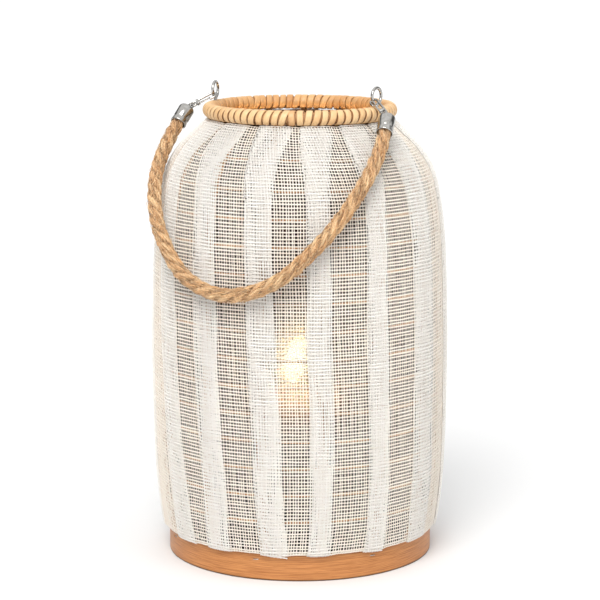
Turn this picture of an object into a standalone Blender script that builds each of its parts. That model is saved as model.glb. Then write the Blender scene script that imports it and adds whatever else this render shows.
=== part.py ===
"""Candle lantern: a gauze-lined bamboo cage under pleated cotton mesh, with a rope handle.

Metres, +Z up. The origin is the middle of the flat base, on the surface that the
lantern stands on. The two screw eyes stand on the rim at +X and -X, and the rope
handle hangs from them and lies against the -Y side of the body.
"""
import math

import bmesh
import bpy
from mathutils import Matrix, Vector

# ---------------------------------------------------------------- driving sizes
GAP = 0.0003                    # play between neighbouring pieces
PLEATS = 15                     # pleats in the cover, one cage slat behind each
FIRST_FOLD = -60.0              # degrees from +X to the first fold edge

HOOP_RADIUS = 0.1116            # outside of the bent wooden base hoop
HOOP_THICKNESS = 0.0033
HOOP_HEIGHT = 0.0222
HOOP_SLIT = 0.0006              # butt seam at the back of the hoop
PLATE_RADIUS = 0.1055
PLATE_HEIGHT = 0.0090
STAPLES = 7
FIRST_STAPLE = -83.0            # degrees from +X
STAPLE_WIDTH = 0.0056
STAPLE_WIRE = 0.0011
STAPLE_LEG = 0.0031
STAPLE_HEIGHT = 0.0170          # height of the staples on the hoop

RIM_RADIUS = 0.0749             # centre line of the cane-wrapped rim
RIM_HEIGHT = 0.3740
RIM_TUBE = 0.0064               # outside of the wrapping
WRAP_THICKNESS = 0.0014
CORE_TUBE = 0.0044
WRAP_MOUTH = 16.0               # half angle of the wrapping's open underside, degrees

COVER_THICKNESS = 0.0026        # three layers of mesh at a pleat
COVER_BOTTOM = 0.0225
PLEAT_STEP = 0.0011             # how far a fold edge stands out
SLAT_WIDTH = 0.0085
SLAT_THICKNESS = 0.0018
SLAT_DEPTH = 0.0045             # from the cover's outside to the middle of a slat
SLAT_OFFSET = 5.0               # degrees from a fold edge to the slat behind it
SLAT_TAPER = 0.62               # a slat's width at the rim, as a share of its full width
RING_WIRE = 0.0013
RING_DEPTH = 0.0073
RINGS = 14
FIRST_RING = 0.0500
RING_PITCH = 0.0224
LINING_DEPTH = 0.0092           # from the cover's outside to the gauze inside the cage
LINING_THICKNESS = 0.0005
LINING_FOOT_RADIUS = 0.1040
LINING_FOOT_TOP = 0.0225        # up to here the gauze stands straight

GLASS_RADIUS = 0.0600
GLASS_WALL = 0.0030
GLASS_TOP = 0.3660
CANDLE_RADIUS = 0.0350
CANDLE_TOP = 0.1350
WICK_RADIUS = 0.0011
WICK_TOP = 0.1460

EYE_X = 0.0742
EYE_Y = -0.0100
EYE_Z = 0.3887
EYE_RADIUS = 0.0067             # centre line of the eye's ring
EYE_WIRE = 0.00125
EYE_YAW = 3.0                   # the eyes turn a little towards the handle, degrees
SHANK_BOTTOM = 0.3705

HOOK_WIRE = 0.00095
HOOK_HALF_WIDTH = 0.00285
TAIL_RADIUS = 0.0020
TAIL_SETBACK = 0.0060           # from the ferrule's top back to the hook's tail
CHEEK_RADIUS = 0.0014           # the two cheeks that carry the gate's pin
CHEEK_THICKNESS = 0.00075
CHEEK_OFFSET = 0.00108
GATE_TIP = 0.0026
GATE_BARREL = 0.0011
GATE_THICKNESS = 0.0008
PIN_RADIUS = 0.00050
PIN_HALF_LENGTH = 0.0017
LINK_RADIUS = 0.0025            # the small ring between hook and ferrule
LINK_WIRE = 0.0006
FERRULE_RADIUS = 0.0068
FERRULE_LENGTH = 0.0180
FERRULE_BORE = 0.0060
FERRULE_CLOSED = 0.0022         # thickness of its closed top
FERRULE_EDGE = 0.0004
BAIL_RADIUS = 0.0020
BAIL_WIRE = 0.0007
BAIL_FOOT = 0.0012              # how deep the bail's legs stand in the ferrule

ROPE_RADIUS = 0.0062
ROPE_NECK = 0.0055              # where the ferrule grips it
ROPE_GRIP = 0.0100              # length of rope inside each ferrule
ROPE_SWELL = 0.0040             # length over which it swells to its full radius
ROPE_POINTS = 49

# height and radius of the cover's outside, from the hem up to the rim
WALL = [(0.0225, 0.1165), (0.030, 0.1182), (0.045, 0.1203), (0.075, 0.1229),
        (0.110, 0.1242), (0.150, 0.1248), (0.190, 0.1249), (0.230, 0.1240),
        (0.270, 0.1220), (0.300, 0.1184), (0.325, 0.1127), (0.345, 0.1012),
        (0.358, 0.0880), (0.366, 0.0790)]

# one half of the rope's centre line, from the middle of the handle to the +X ferrule
ROPE_HALF = [(0.0000, -0.1352, 0.2380), (0.0230, -0.1334, 0.2420), (0.0439, -0.1282, 0.2523),
             (0.0606, -0.1196, 0.2678), (0.0750, -0.1090, 0.2852), (0.0856, -0.0958, 0.3033),
             (0.0928, -0.0803, 0.3218), (0.0960, -0.0629, 0.3393), (0.0952, -0.0447, 0.3568),
             (0.0915, -0.0268, 0.3745)]


# ---------------------------------------------------------------- helpers
def clear_scene():
    for obj in list(bpy.data.objects):
        bpy.data.objects.remove(obj, do_unlink=True)


def material(name, colour, roughness, metallic=0.0):
    made = bpy.data.materials.new(name)
    made.use_nodes = True
    shader = made.node_tree.nodes["Principled BSDF"]
    shader.inputs["Base Color"].default_value = (*colour, 1.0)
    shader.inputs["Roughness"].default_value = roughness
    shader.inputs["Metallic"].default_value = metallic
    return made


def place(obj, finish):
    bpy.context.scene.collection.objects.link(obj)
    obj.data.materials.append(finish)
    return obj


def solid(name, bm, finish, smooth=True):
    """Turns a bmesh into an object with outward faces."""
    bmesh.ops.recalc_face_normals(bm, faces=bm.faces)
    mesh = bpy.data.meshes.new(name)
    bm.to_mesh(mesh)
    bm.free()
    obj = place(bpy.data.objects.new(name, mesh), finish)
    if smooth:
        mesh.shade_smooth()
        mesh.set_sharp_from_angle(angle=math.radians(35))
    return obj


def grid_solid(name, rings, finish, closed=True):
    """Skins a list of equally long closed rings of points.

    closed joins the last ring to the first; otherwise both ends get a cap.
    """
    bm = bmesh.new()
    rows = [[bm.verts.new(point) for point in ring] for ring in rings]
    count = len(rows[0])
    pairs = list(zip(rows, rows[1:]))
    if closed:
        pairs.append((rows[-1], rows[0]))
    for low, high in pairs:
        for i in range(count):
            j = (i + 1) % count
            bm.faces.new((low[i], low[j], high[j], high[i]))
    if not closed:
        bm.faces.new(rows[0])
        bm.faces.new(rows[-1])
    return solid(name, bm, finish)


def turned(name, outline, steps, finish):
    """Turns a closed outline of (radius, height) points once around Z."""
    rings = []
    for step in range(steps):
        angle = 2 * math.pi * step / steps
        rings.append([Vector((r * math.cos(angle), r * math.sin(angle), z)) for r, z in outline])
    return grid_solid(name, rings, finish)


def disc_stack(name, outline, steps, finish):
    """Turns an open outline of (radius, height) points round Z and closes both ends with a disc."""
    rings = []
    for radius, height in outline:
        rings.append([Vector((radius * math.cos(2 * math.pi * i / steps),
                              radius * math.sin(2 * math.pi * i / steps), height))
                      for i in range(steps)])
    return grid_solid(name, rings, finish, closed=False)


def wire(name, points, radius, finish, sides=0, closed=False, radii=None):
    """A round wire along the points; sides 0, 1, 2 give 4, 6 or 8 flats."""
    curve = bpy.data.curves.new(name, "CURVE")
    curve.dimensions = "3D"
    curve.bevel_depth = radius
    curve.bevel_resolution = sides
    curve.use_fill_caps = not closed
    spline = curve.splines.new("POLY")
    spline.points.add(len(points) - 1)
    for index, (slot, point) in enumerate(zip(spline.points, points)):
        slot.co = (*point, 1.0)
        slot.radius = 1.0 if radii is None else radii[index]
    spline.use_cyclic_u = closed
    spline.use_smooth = True
    return place(bpy.data.objects.new(name, curve), finish)


def as_mesh(obj):
    """Swaps a curve object for a mesh object of the same name, ready for Booleans."""
    name = obj.name
    finish = obj.data.materials[0]
    mesh = bpy.data.meshes.new_from_object(obj.evaluated_get(bpy.context.evaluated_depsgraph_get()))
    bpy.data.objects.remove(obj, do_unlink=True)
    made = bpy.data.objects.new(name, mesh)
    bpy.context.scene.collection.objects.link(made)
    if not mesh.materials:
        mesh.materials.append(finish)
    return made


def cut(obj, tool, operation="DIFFERENCE"):
    """Adds an exact Boolean with a hidden tool object."""
    tool.hide_render = True
    tool.display_type = "WIRE"
    step = obj.modifiers.new(tool.name, "BOOLEAN")
    step.operation = operation
    step.solver = "EXACT"
    step.object = tool


def rod(name, start, end, radius, steps, finish):
    """A straight round rod between two points."""
    axis = (end - start).normalized()
    side = axis.orthogonal().normalized()
    across = axis.cross(side)
    rings = []
    for point in (start, end):
        rings.append([point + radius * (math.cos(2 * math.pi * i / steps) * side
                                        + math.sin(2 * math.pi * i / steps) * across)
                      for i in range(steps)])
    return grid_solid(name, rings, finish, closed=False)


def plate(name, outline, thickness, frame, finish):
    """Extrudes an outline in the frame's first two axes, half to each side of its plane."""
    rings = [[frame @ Vector((u, v, side * thickness / 2)) for u, v in outline] for side in (-1, 1)]
    return grid_solid(name, rings, finish, closed=False)


def arc(centre, radius, start, end, steps):
    """Points of an arc in a plane; angles in degrees, both ends included."""
    points = []
    for i in range(steps + 1):
        angle = math.radians(start + (end - start) * i / steps)
        points.append((centre[0] + radius * math.cos(angle), centre[1] + radius * math.sin(angle)))
    return points


def smooth_curve(points, count):
    """Evenly spaced points on a smooth curve through the given points."""
    dense = []
    padded = [2 * points[0] - points[1], *points, 2 * points[-1] - points[-2]]
    for a, b, c, d in zip(padded, padded[1:], padded[2:], padded[3:]):
        for i in range(20):
            t = i / 20
            dense.append(0.5 * (2 * b + (c - a) * t + (2 * a - 5 * b + 4 * c - d) * t ** 2
                                + (3 * b - a - 3 * c + d) * t ** 3))
    dense.append(points[-1])
    lengths = [0.0]
    for a, b in zip(dense, dense[1:]):
        lengths.append(lengths[-1] + (b - a).length)
    even = []
    k = 0
    for i in range(count):
        target = lengths[-1] * i / (count - 1)
        while k < len(lengths) - 2 and lengths[k + 1] < target:
            k += 1
        share = (target - lengths[k]) / (lengths[k + 1] - lengths[k])
        even.append(dense[k].lerp(dense[k + 1], min(max(share, 0.0), 1.0)))
    return even


def wall_path(depth, low=0.0, high=1.0):
    """The cover's outline as (radius, height), moved inwards by depth, between two heights."""
    path = []
    for index, (height, radius) in enumerate(WALL):
        below = WALL[max(index - 1, 0)]
        above = WALL[min(index + 1, len(WALL) - 1)]
        rise = above[0] - below[0]
        run = above[1] - below[1]
        length = math.hypot(rise, run)
        moved = (radius - depth * rise / length, height + depth * run / length)
        if low <= moved[1] <= high:
            path.append(moved)
    return path


def wall_radius(depth, height):
    """The radius of the moved outline at one height."""
    path = wall_path(depth)
    for (r0, z0), (r1, z1) in zip(path, path[1:]):
        if z0 <= height <= z1:
            return r0 + (r1 - r0) * (height - z0) / (z1 - z0)
    return path[-1][0]


def polar(radius, degrees, height):
    angle = math.radians(degrees)
    return Vector((radius * math.cos(angle), radius * math.sin(angle), height))


# ---------------------------------------------------------------- base
def base_plate(finish):
    bevel = 0.0008
    outline = [(PLATE_RADIUS - bevel, 0.0), (PLATE_RADIUS, bevel),
               (PLATE_RADIUS, PLATE_HEIGHT - bevel), (PLATE_RADIUS - bevel, PLATE_HEIGHT)]
    disc_stack("base_plate", outline, 45, finish)


def staple_shape(name, angle, grow, reach, finish):
    """A staple lying across the hoop: a crown outside and two legs pointing in."""
    half = STAPLE_WIDTH / 2 + grow
    inner = STAPLE_WIDTH / 2 - STAPLE_WIRE - grow
    top = reach
    under = -STAPLE_WIRE - grow
    foot = -STAPLE_LEG - grow
    outline = [(-half, top), (half, top), (half, foot), (inner, foot),
               (inner, under), (-inner, under), (-inner, foot), (-half, foot)]
    outward = polar(1.0, angle, 0.0)
    along = polar(1.0, angle + 90, 0.0)
    centre = polar(HOOP_RADIUS, angle, STAPLE_HEIGHT)
    half_height = Vector((0, 0, STAPLE_WIRE / 2 + grow))
    rings = [[centre + u * along + v * outward + side * half_height for u, v in outline]
             for side in (-1, 1)]
    bm = bmesh.new()
    rows = [[bm.verts.new(point) for point in ring] for ring in rings]
    count = len(outline)
    for i in range(count):
        j = (i + 1) % count
        bm.faces.new((rows[0][i], rows[0][j], rows[1][j], rows[1][i]))
    for row in rows:
        bm.faces.new((row[0], row[1], row[4], row[5]))
        bm.faces.new((row[1], row[2], row[3], row[4]))
        bm.faces.new((row[5], row[6], row[7], row[0]))
    return solid(name, bm, finish, smooth=False)


def base_hoop(wood, steel):
    """A bent strip, butted at the back, with a pocket for each staple."""
    inner = HOOP_RADIUS - HOOP_THICKNESS
    bevel = 0.0006
    outline = [(inner, 0.0), (HOOP_RADIUS - bevel, 0.0), (HOOP_RADIUS, bevel),
               (HOOP_RADIUS, HOOP_HEIGHT - bevel), (HOOP_RADIUS - bevel, HOOP_HEIGHT),
               (inner, HOOP_HEIGHT)]
    seam = 90.0
    slit = math.degrees(HOOP_SLIT / HOOP_RADIUS)
    steps = 60
    rings = []
    for step in range(steps + 1):
        angle = seam + slit / 2 + (360 - slit) * step / steps
        rings.append([polar(r, angle, z) for r, z in outline])
    hoop = grid_solid("base_hoop", rings, wood, closed=False)
    for index in range(STAPLES):
        angle = FIRST_STAPLE + 360 / STAPLES * index
        cut(hoop, staple_shape(f"staple_pocket_{index + 1}", angle, GAP, 0.002, wood))
        staple_shape(f"hoop_staple_{index + 1}", angle, 0.0, 0.0, steel)


# ---------------------------------------------------------------- cage and cover
def cage_slat(number, finish):
    """One upright bamboo strip, from the base hoop up into the rim's wrapping."""
    foot = HOOP_RADIUS - HOOP_THICKNESS - GAP * 1.5 - SLAT_THICKNESS / 2
    path = [(foot, 0.0010), (foot, HOOP_HEIGHT + GAP)]
    path += wall_path(SLAT_DEPTH, 0.040, 0.356)
    path += [(RIM_RADIUS + 0.0014, 0.3618), (RIM_RADIUS, 0.3660),
             (RIM_RADIUS, RIM_HEIGHT - CORE_TUBE - GAP)]
    middle = FIRST_FOLD + 360 / PLEATS * number + SLAT_OFFSET
    along = polar(1.0, middle + 90, 0.0)
    rings = []
    for index, (radius, height) in enumerate(path):
        before = path[max(index - 1, 0)]
        after = path[min(index + 1, len(path) - 1)]
        rise = after[1] - before[1]
        run = after[0] - before[0]
        length = math.hypot(rise, run)
        share = min((radius - RIM_RADIUS) / (0.1 - RIM_RADIUS), 1.0)
        half = SLAT_WIDTH / 2 * (SLAT_TAPER + (1.0 - SLAT_TAPER) * share)
        corners = []
        for side, face in ((-1, -1), (1, -1), (1, 1), (-1, 1)):
            r = radius + face * SLAT_THICKNESS / 2 * rise / length
            z = height - face * SLAT_THICKNESS / 2 * run / length
            corners.append(polar(r, middle, z) + side * half * along)
        rings.append(corners)
    return grid_solid(f"cage_slat_{number + 1:02d}", rings, finish, closed=False)


def cage_ring(number, finish):
    """One thin rattan hoop lashed inside the slats."""
    height = FIRST_RING + RING_PITCH * number
    radius = wall_radius(RING_DEPTH, height)
    steps = 36
    points = [polar(radius, 360 / steps * i, height) for i in range(steps)]
    wire(f"cage_ring_{number + 1:02d}", points, RING_WIRE, finish, closed=True)


def cage_lining(finish):
    """Thin dark gauze inside the rings, from the base plate up to the rim."""
    foot = [(LINING_FOOT_RADIUS, PLATE_HEIGHT + 2 * GAP), (LINING_FOOT_RADIUS, LINING_FOOT_TOP)]
    outer = foot + wall_path(LINING_DEPTH, 0.040, 0.366)
    inner = [(r - LINING_THICKNESS, z) for r, z in foot]
    inner += wall_path(LINING_DEPTH + LINING_THICKNESS, 0.040, 0.366)
    turned("cage_lining", outer + inner[::-1], 36, finish)


def fabric_cover(finish):
    """The cover as a plain shell with its pleats, open at the top and the bottom."""
    outer = wall_path(0.0)
    inner = wall_path(COVER_THICKNESS)
    inner[0] = (inner[0][0], COVER_BOTTOM)
    steps = [(0.0, 0.0), (10.5, 0.2), (13.0, 0.8), (23.5, 1.0)]
    rings = []
    for pleat in range(PLEATS):
        for offset, sink in steps:
            angle = FIRST_FOLD + 360 / PLEATS * pleat + offset
            ring = [polar(r - sink * PLEAT_STEP, angle, z) for r, z in outer]
            ring += [polar(r, angle, z) for r, z in reversed(inner)]
            rings.append(ring)
    return grid_solid("fabric_cover", rings, finish)


# ---------------------------------------------------------------- rim
def rim(cane, wood):
    """The rim's round core and its cane wrapping, bored for the eyes' shanks."""
    steps = 40
    core = turned("rim_core", [(RIM_RADIUS + r, RIM_HEIGHT + z)
                               for r, z in arc((0, 0), CORE_TUBE, 0, 300, 5)], steps, wood)
    first = -90 + WRAP_MOUTH
    last = 270 - WRAP_MOUTH
    outside = arc((RIM_RADIUS, RIM_HEIGHT), RIM_TUBE, first, last, 10)
    inside = arc((RIM_RADIUS, RIM_HEIGHT), RIM_TUBE - WRAP_THICKNESS, last, first, 6)
    wrap = turned("rim_wrap", outside + inside, steps, cane)
    for side, label in ((-1, "left"), (1, "right")):
        spot = Vector((side * EYE_X, EYE_Y, 0.0))
        low = spot + Vector((0, 0, SHANK_BOTTOM - GAP))
        high = spot + Vector((0, 0, RIM_HEIGHT + RIM_TUBE + 0.002))
        for target in (core, wrap):
            bore = rod(f"bore_{target.name}_{label}", low, high, EYE_WIRE + 0.00045, 10, wood)
            cut(target, bore)


# ---------------------------------------------------------------- eyes, hooks and ferrules
class Side:
    """The working frames of the handle's fittings on one side; sign is +1 or -1."""

    def __init__(self, sign, label):
        self.sign = sign
        self.label = label
        self.eye = Vector((sign * EYE_X, EYE_Y, EYE_Z))
        yaw = math.radians(EYE_YAW)
        self.eye_across = Vector((sign * math.sin(yaw), math.cos(yaw), 0.0))
        top = Vector(ROPE_HALF[-1])
        below = Vector(ROPE_HALF[-2])
        self.top = Vector((sign * top.x, top.y, top.z))
        self.axis = Vector((sign * (below.x - top.x), below.y - top.y, below.z - top.z)).normalized()
        pull = (self.top - self.eye).normalized()
        lean = Vector((0.0, pull.y, pull.z)).normalized()
        self.grip = self.eye + EYE_RADIUS * (lean.y * self.eye_across + lean.z * Vector((0, 0, 1)))
        tangent = -lean.z * self.eye_across + lean.y * Vector((0, 0, 1))
        self.u = (self.top - self.grip).normalized()
        self.n = (tangent - tangent.dot(self.u) * self.u).normalized()
        self.v = self.n.cross(self.u)
        if self.v.z > 0:
            self.v = -self.v
            self.n = -self.n
        self.tail = (self.top - self.grip).length - TAIL_SETBACK
        self.pivot = (self.tail - 0.0034, 0.0014)
        self.frame = Matrix.Translation(self.grip) @ Matrix((self.u, self.v, self.n)).transposed().to_4x4()

    def point(self, u, v, n=0.0):
        return self.grip + u * self.u + v * self.v + n * self.n

    def pin(self, name, radius, half_length, finish):
        """A round rod on the gate's axis."""
        return rod(name, self.point(*self.pivot, -half_length), self.point(*self.pivot, half_length),
                   radius, 8, finish)


def screw_eye(side, finish):
    """A bent-wire eye: a straight shank, then one turn that ends just short of it."""
    path = [(0.0, SHANK_BOTTOM - EYE_Z), (0.0, -EYE_RADIUS - 0.0022), (0.0013, -EYE_RADIUS - 0.0001)]
    path += arc((0.0, 0.0), EYE_RADIUS, -62, 238, 20)
    points = [side.eye + a * side.eye_across + Vector((0, 0, b)) for a, b in path]
    wire(f"eye_{side.label}", points, EYE_WIRE, finish, sides=2)


def hook(side, finish):
    """A bent-wire snap hook with two cheeks that carry the gate's pin."""
    half = HOOK_HALF_WIDTH
    path = [(0.0040, half - 0.0001)]
    path += arc((0.00035, 0.0), half, 90, 270, 9)
    path += [(0.0060, -half + 0.0002), (side.tail - 0.0030, -TAIL_RADIUS - 0.0002)]
    path += arc((side.tail, 0.0), TAIL_RADIUS, -95, 150, 12)
    body = as_mesh(wire(f"hook_{side.label}", [side.point(u, v) for u, v in path],
                        HOOK_WIRE, finish, sides=2))
    outline = arc(side.pivot, CHEEK_RADIUS, 0, 180, 6)
    outline += arc((side.pivot[0], -TAIL_RADIUS), CHEEK_RADIUS * 0.7, 180, 360, 4)
    for face in (-1, 1):
        shift = Matrix.Translation(face * CHEEK_OFFSET * side.n)
        cheek = plate(f"cheek_{side.label}_{face + 1}", outline, CHEEK_THICKNESS,
                      shift @ side.frame, finish)
        cut(body, cheek, "UNION")
    cut(body, side.pin(f"pin_bore_{side.label}", PIN_RADIUS + GAP, 2 * PIN_HALF_LENGTH, finish))


def gate(side, finish):
    """The sprung gate: a small lever that closes the hook's mouth from inside."""
    outline = arc(side.pivot, GATE_BARREL, -90, 90, 5)
    outline += [(GATE_TIP + 0.0006, 0.00155), (GATE_TIP, 0.0013), (GATE_TIP + 0.0003, 0.0007)]
    lever = plate(f"gate_{side.label}", outline, GATE_THICKNESS, side.frame, finish)
    cut(lever, side.pin(f"gate_bore_{side.label}", PIN_RADIUS + GAP, 2 * PIN_HALF_LENGTH, finish))
    side.pin(f"gate_pin_{side.label}", PIN_RADIUS, PIN_HALF_LENGTH, finish)


def link_ring(side, finish):
    """The small closed ring that joins the hook's tail to the ferrule's bail."""
    centre_u = side.tail + 0.0001 + LINK_RADIUS
    points = [side.point(centre_u + LINK_RADIUS * math.cos(math.radians(a)), 0.0,
                         LINK_RADIUS * math.sin(math.radians(a))) for a in range(0, 360, 20)]
    wire(f"link_ring_{side.label}", points, LINK_WIRE, finish, sides=1, closed=True)


def ferrule(side, finish):
    """A crimped cup on the rope's end, with a bail of wire on its closed top."""
    steps = 20
    centre = 0.0008
    edge = FERRULE_EDGE
    outline = [(0.0, centre), (0.0, FERRULE_RADIUS - edge), (edge, FERRULE_RADIUS),
               (FERRULE_LENGTH - edge, FERRULE_RADIUS), (FERRULE_LENGTH, FERRULE_RADIUS - edge),
               (FERRULE_LENGTH, FERRULE_BORE), (FERRULE_CLOSED, FERRULE_BORE),
               (FERRULE_CLOSED, centre)]
    across = side.axis.cross(side.v).normalized()
    up = across.cross(side.axis).normalized()
    rings = []
    for reach, radius in outline:
        rings.append([side.top + reach * side.axis
                      + radius * (math.cos(2 * math.pi * i / steps) * across
                                  + math.sin(2 * math.pi * i / steps) * up)
                      for i in range(steps)])
    cup = grid_solid(f"ferrule_{side.label}", rings, finish, closed=False)
    apex = side.tail + 0.0001 + 2 * LINK_RADIUS - LINK_WIRE - BAIL_WIRE - GAP
    crown = side.point(apex, 0.0) + BAIL_RADIUS * side.u
    foot = side.top + BAIL_FOOT * side.axis
    bail_path = [foot + BAIL_RADIUS * side.v]
    bail_path += [crown + BAIL_RADIUS * (math.cos(math.radians(a)) * side.v
                                         - math.sin(math.radians(a)) * side.u)
                  for a in range(0, 181, 20)]
    bail_path.append(foot - BAIL_RADIUS * side.v)
    bail = as_mesh(wire(f"bail_{side.label}", bail_path, BAIL_WIRE, finish, sides=1))
    cut(cup, bail, "UNION")


def rope(sides, finish):
    """The rope handle as one smooth tube, necked where the ferrules grip it."""
    half = [Vector(point) for point in ROPE_HALF]
    route = [Vector((-p.x, p.y, p.z)) for p in reversed(half)] + half[1:]
    line = smooth_curve(route, 400)
    start = FERRULE_LENGTH - ROPE_GRIP
    kept = [p for p in line if all((p - s.top).dot(s.axis) > start or (p - s.top).length > 0.03
                                   for s in sides)]
    points = smooth_curve(kept, ROPE_POINTS)
    radii = []
    for p in points:
        depth = min((p - s.top).length for s in sides) - FERRULE_LENGTH
        share = min(max((depth - 0.0008) / ROPE_SWELL, 0.0), 1.0)
        radii.append((ROPE_NECK + (ROPE_RADIUS - ROPE_NECK) * share) / ROPE_RADIUS)
    wire("rope_handle", points, ROPE_RADIUS, finish, sides=2, radii=radii)


# ---------------------------------------------------------------- glass and candle
def glass_cylinder(finish):
    inner = GLASS_RADIUS - GLASS_WALL
    low = PLATE_HEIGHT + GAP
    bevel = 0.0010
    outline = [(inner, low), (GLASS_RADIUS, low), (GLASS_RADIUS, GLASS_TOP - bevel),
               (GLASS_RADIUS - GLASS_WALL / 2, GLASS_TOP), (inner, GLASS_TOP - bevel)]
    turned("glass_cylinder", outline, 40, finish)


def candle(wax, cotton):
    low = PLATE_HEIGHT + GAP
    bevel = 0.0020
    outline = [(CANDLE_RADIUS - bevel, low), (CANDLE_RADIUS, low + bevel),
               (CANDLE_RADIUS, CANDLE_TOP - bevel), (CANDLE_RADIUS - bevel, CANDLE_TOP),
               (WICK_RADIUS + GAP, CANDLE_TOP - 0.0020), (WICK_RADIUS + GAP, CANDLE_TOP - 0.0120)]
    disc_stack("candle", outline, 24, wax)
    rod("wick", Vector((0, 0, CANDLE_TOP - 0.0117)), Vector((0, 0, WICK_TOP)),
        WICK_RADIUS, 8, cotton)


def build():
    clear_scene()
    wood = material("bent_wood", (0.66, 0.32, 0.12), 0.5)
    bamboo = material("bamboo", (0.58, 0.30, 0.12), 0.6)
    cane = material("cane", (0.78, 0.52, 0.27), 0.45)
    cotton = material("cotton_mesh", (0.86, 0.83, 0.77), 0.9)
    jute = material("jute", (0.60, 0.38, 0.17), 0.9)
    steel = material("polished_metal", (0.80, 0.80, 0.80), 0.18, 1.0)
    glass = material("clear_glass", (0.90, 0.93, 0.93), 0.05)
    wax = material("wax", (0.93, 0.87, 0.74), 0.45)
    wick = material("wick_cotton", (0.10, 0.08, 0.07), 0.9)
    gauze = material("dark_gauze", (0.05, 0.035, 0.025), 0.9)

    base_plate(wood)
    base_hoop(wood, steel)
    for number in range(PLEATS):
        cage_slat(number, bamboo)
    for number in range(RINGS):
        cage_ring(number, bamboo)
    cage_lining(gauze)
    fabric_cover(cotton)
    rim(cane, bamboo)
    sides = [Side(-1, "left"), Side(1, "right")]
    for side in sides:
        screw_eye(side, steel)
        hook(side, steel)
        gate(side, steel)
        link_ring(side, steel)
        ferrule(side, steel)
    rope(sides, jute)
    glass_cylinder(glass)
    candle(wax, wick)


build()
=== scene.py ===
import math

import bpy
import numpy as np
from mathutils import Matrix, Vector


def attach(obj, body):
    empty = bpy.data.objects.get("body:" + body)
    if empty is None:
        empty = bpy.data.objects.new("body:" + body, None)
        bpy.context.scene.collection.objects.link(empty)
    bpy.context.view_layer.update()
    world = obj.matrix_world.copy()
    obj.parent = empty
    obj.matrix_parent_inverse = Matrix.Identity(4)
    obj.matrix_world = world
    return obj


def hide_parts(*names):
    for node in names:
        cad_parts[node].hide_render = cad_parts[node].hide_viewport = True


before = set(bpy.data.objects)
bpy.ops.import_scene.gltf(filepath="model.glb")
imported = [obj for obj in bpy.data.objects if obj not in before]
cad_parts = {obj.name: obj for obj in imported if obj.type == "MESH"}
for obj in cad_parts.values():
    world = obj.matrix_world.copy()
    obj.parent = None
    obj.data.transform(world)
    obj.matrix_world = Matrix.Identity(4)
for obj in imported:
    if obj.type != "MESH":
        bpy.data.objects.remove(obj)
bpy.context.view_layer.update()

MM = 0.001
UP = np.array([0.0, 0.0, 1.0])
FULL_TURN = 2 * np.pi

# ---------------------------------------------------------------- sizes, as the CAD has them
PLEATS = 15
FOLD_STEP = 360.0 / PLEATS
FIRST_FOLD = -60.0              # degrees from +X to the first fold edge
OVERLAP = 10.5                  # degrees of cloth folded under at each pleat

HOOP_RADIUS = 0.1116
HOOP_THICKNESS = 0.0033
HOOP_HEIGHT = 0.0222
HOOP_SLIT = 0.0006
PLATE_RADIUS = 0.1055
PLATE_HEIGHT = 0.0090
STAPLES = 7
FIRST_STAPLE = -83.0
STAPLE_WIDTH = 0.0056
STAPLE_HEIGHT = 0.0170
STAPLE_LEG = 0.0031

RIM_RADIUS = 0.0749
RIM_HEIGHT = 0.3740
RIM_TUBE = 0.0064
CORE_TUBE = 0.0044

SLAT_WIDTH = 0.0085
SLAT_THICKNESS = 0.0018
SLAT_DEPTH = 0.0045
SLAT_OFFSET = 5.0
RINGS = 14
FIRST_RING = 0.0500
RING_PITCH = 0.0224
RING_DEPTH = 0.0073
RING_WIRE = 0.0013
# where the dark sheet of painted shade stands inside the cage
SHADE_LINING_DEPTH = 0.0092
SHADE_LINING_FOOT_RADIUS = 0.1040
SHADE_LINING_FOOT_TOP = 0.0225

GLASS_RADIUS = 0.0600
GLASS_WALL = 0.0030
GLASS_TOP = 0.3660
STANDING = PLATE_HEIGHT + 0.0003  # where the glass and the candle stand
CANDLE_RADIUS = 0.0350
CANDLE_TOP = 0.1350
WICK_TOP = 0.1460

EYE_X = 0.0742
EYE_Y = -0.0100
EYE_Z = 0.3887
EYE_RADIUS = 0.0067
EYE_WIRE = 0.00125
EYE_YAW = 3.0
EYE_TURN = 6.0                  # how much further each eye is screwed round than the CAD's
SHANK_BOTTOM = 0.3705

HOOK_WIRE = 0.00095
HOOK_HALF_WIDTH = 0.00285
TAIL_RADIUS = 0.0020
TAIL_SETBACK = 0.0060
LINK_RADIUS = 0.0025
LINK_WIRE = 0.0006
FERRULE_RADIUS = 0.0068
FERRULE_LENGTH = 0.0180
FERRULE_BORE = 0.0060
BAIL_RADIUS = 0.0020
BAIL_WIRE = 0.0007

ROPE_GRIP = 0.0100              # length of rope inside each ferrule

# height and radius of the cover's outside, from the hem up to the rim
WALL = [(0.0300, 0.1182), (0.0450, 0.1203), (0.0750, 0.1229), (0.1100, 0.1242),
        (0.1500, 0.1248), (0.1900, 0.1249), (0.2300, 0.1240), (0.2700, 0.1220),
        (0.3000, 0.1184), (0.3250, 0.1127), (0.3450, 0.1012), (0.3580, 0.0880),
        (0.3660, 0.0790)]
HEM = [(0.0228, 0.1124), (0.0215, 0.1142), (0.0213, 0.1159), (0.0238, 0.1171)]
TUCK = [(0.3676, 0.0768)]

# one half of the rope's centre line, from the middle of the handle to the +X ferrule
ROPE_HALF = [(0.0000, -0.1352, 0.2380), (0.0230, -0.1334, 0.2420), (0.0439, -0.1282, 0.2523),
             (0.0606, -0.1196, 0.2678), (0.0750, -0.1090, 0.2852), (0.0856, -0.0958, 0.3033),
             (0.0928, -0.0803, 0.3218), (0.0960, -0.0629, 0.3393), (0.0952, -0.0447, 0.3568),
             (0.0915, -0.0268, 0.3745)]


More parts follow.
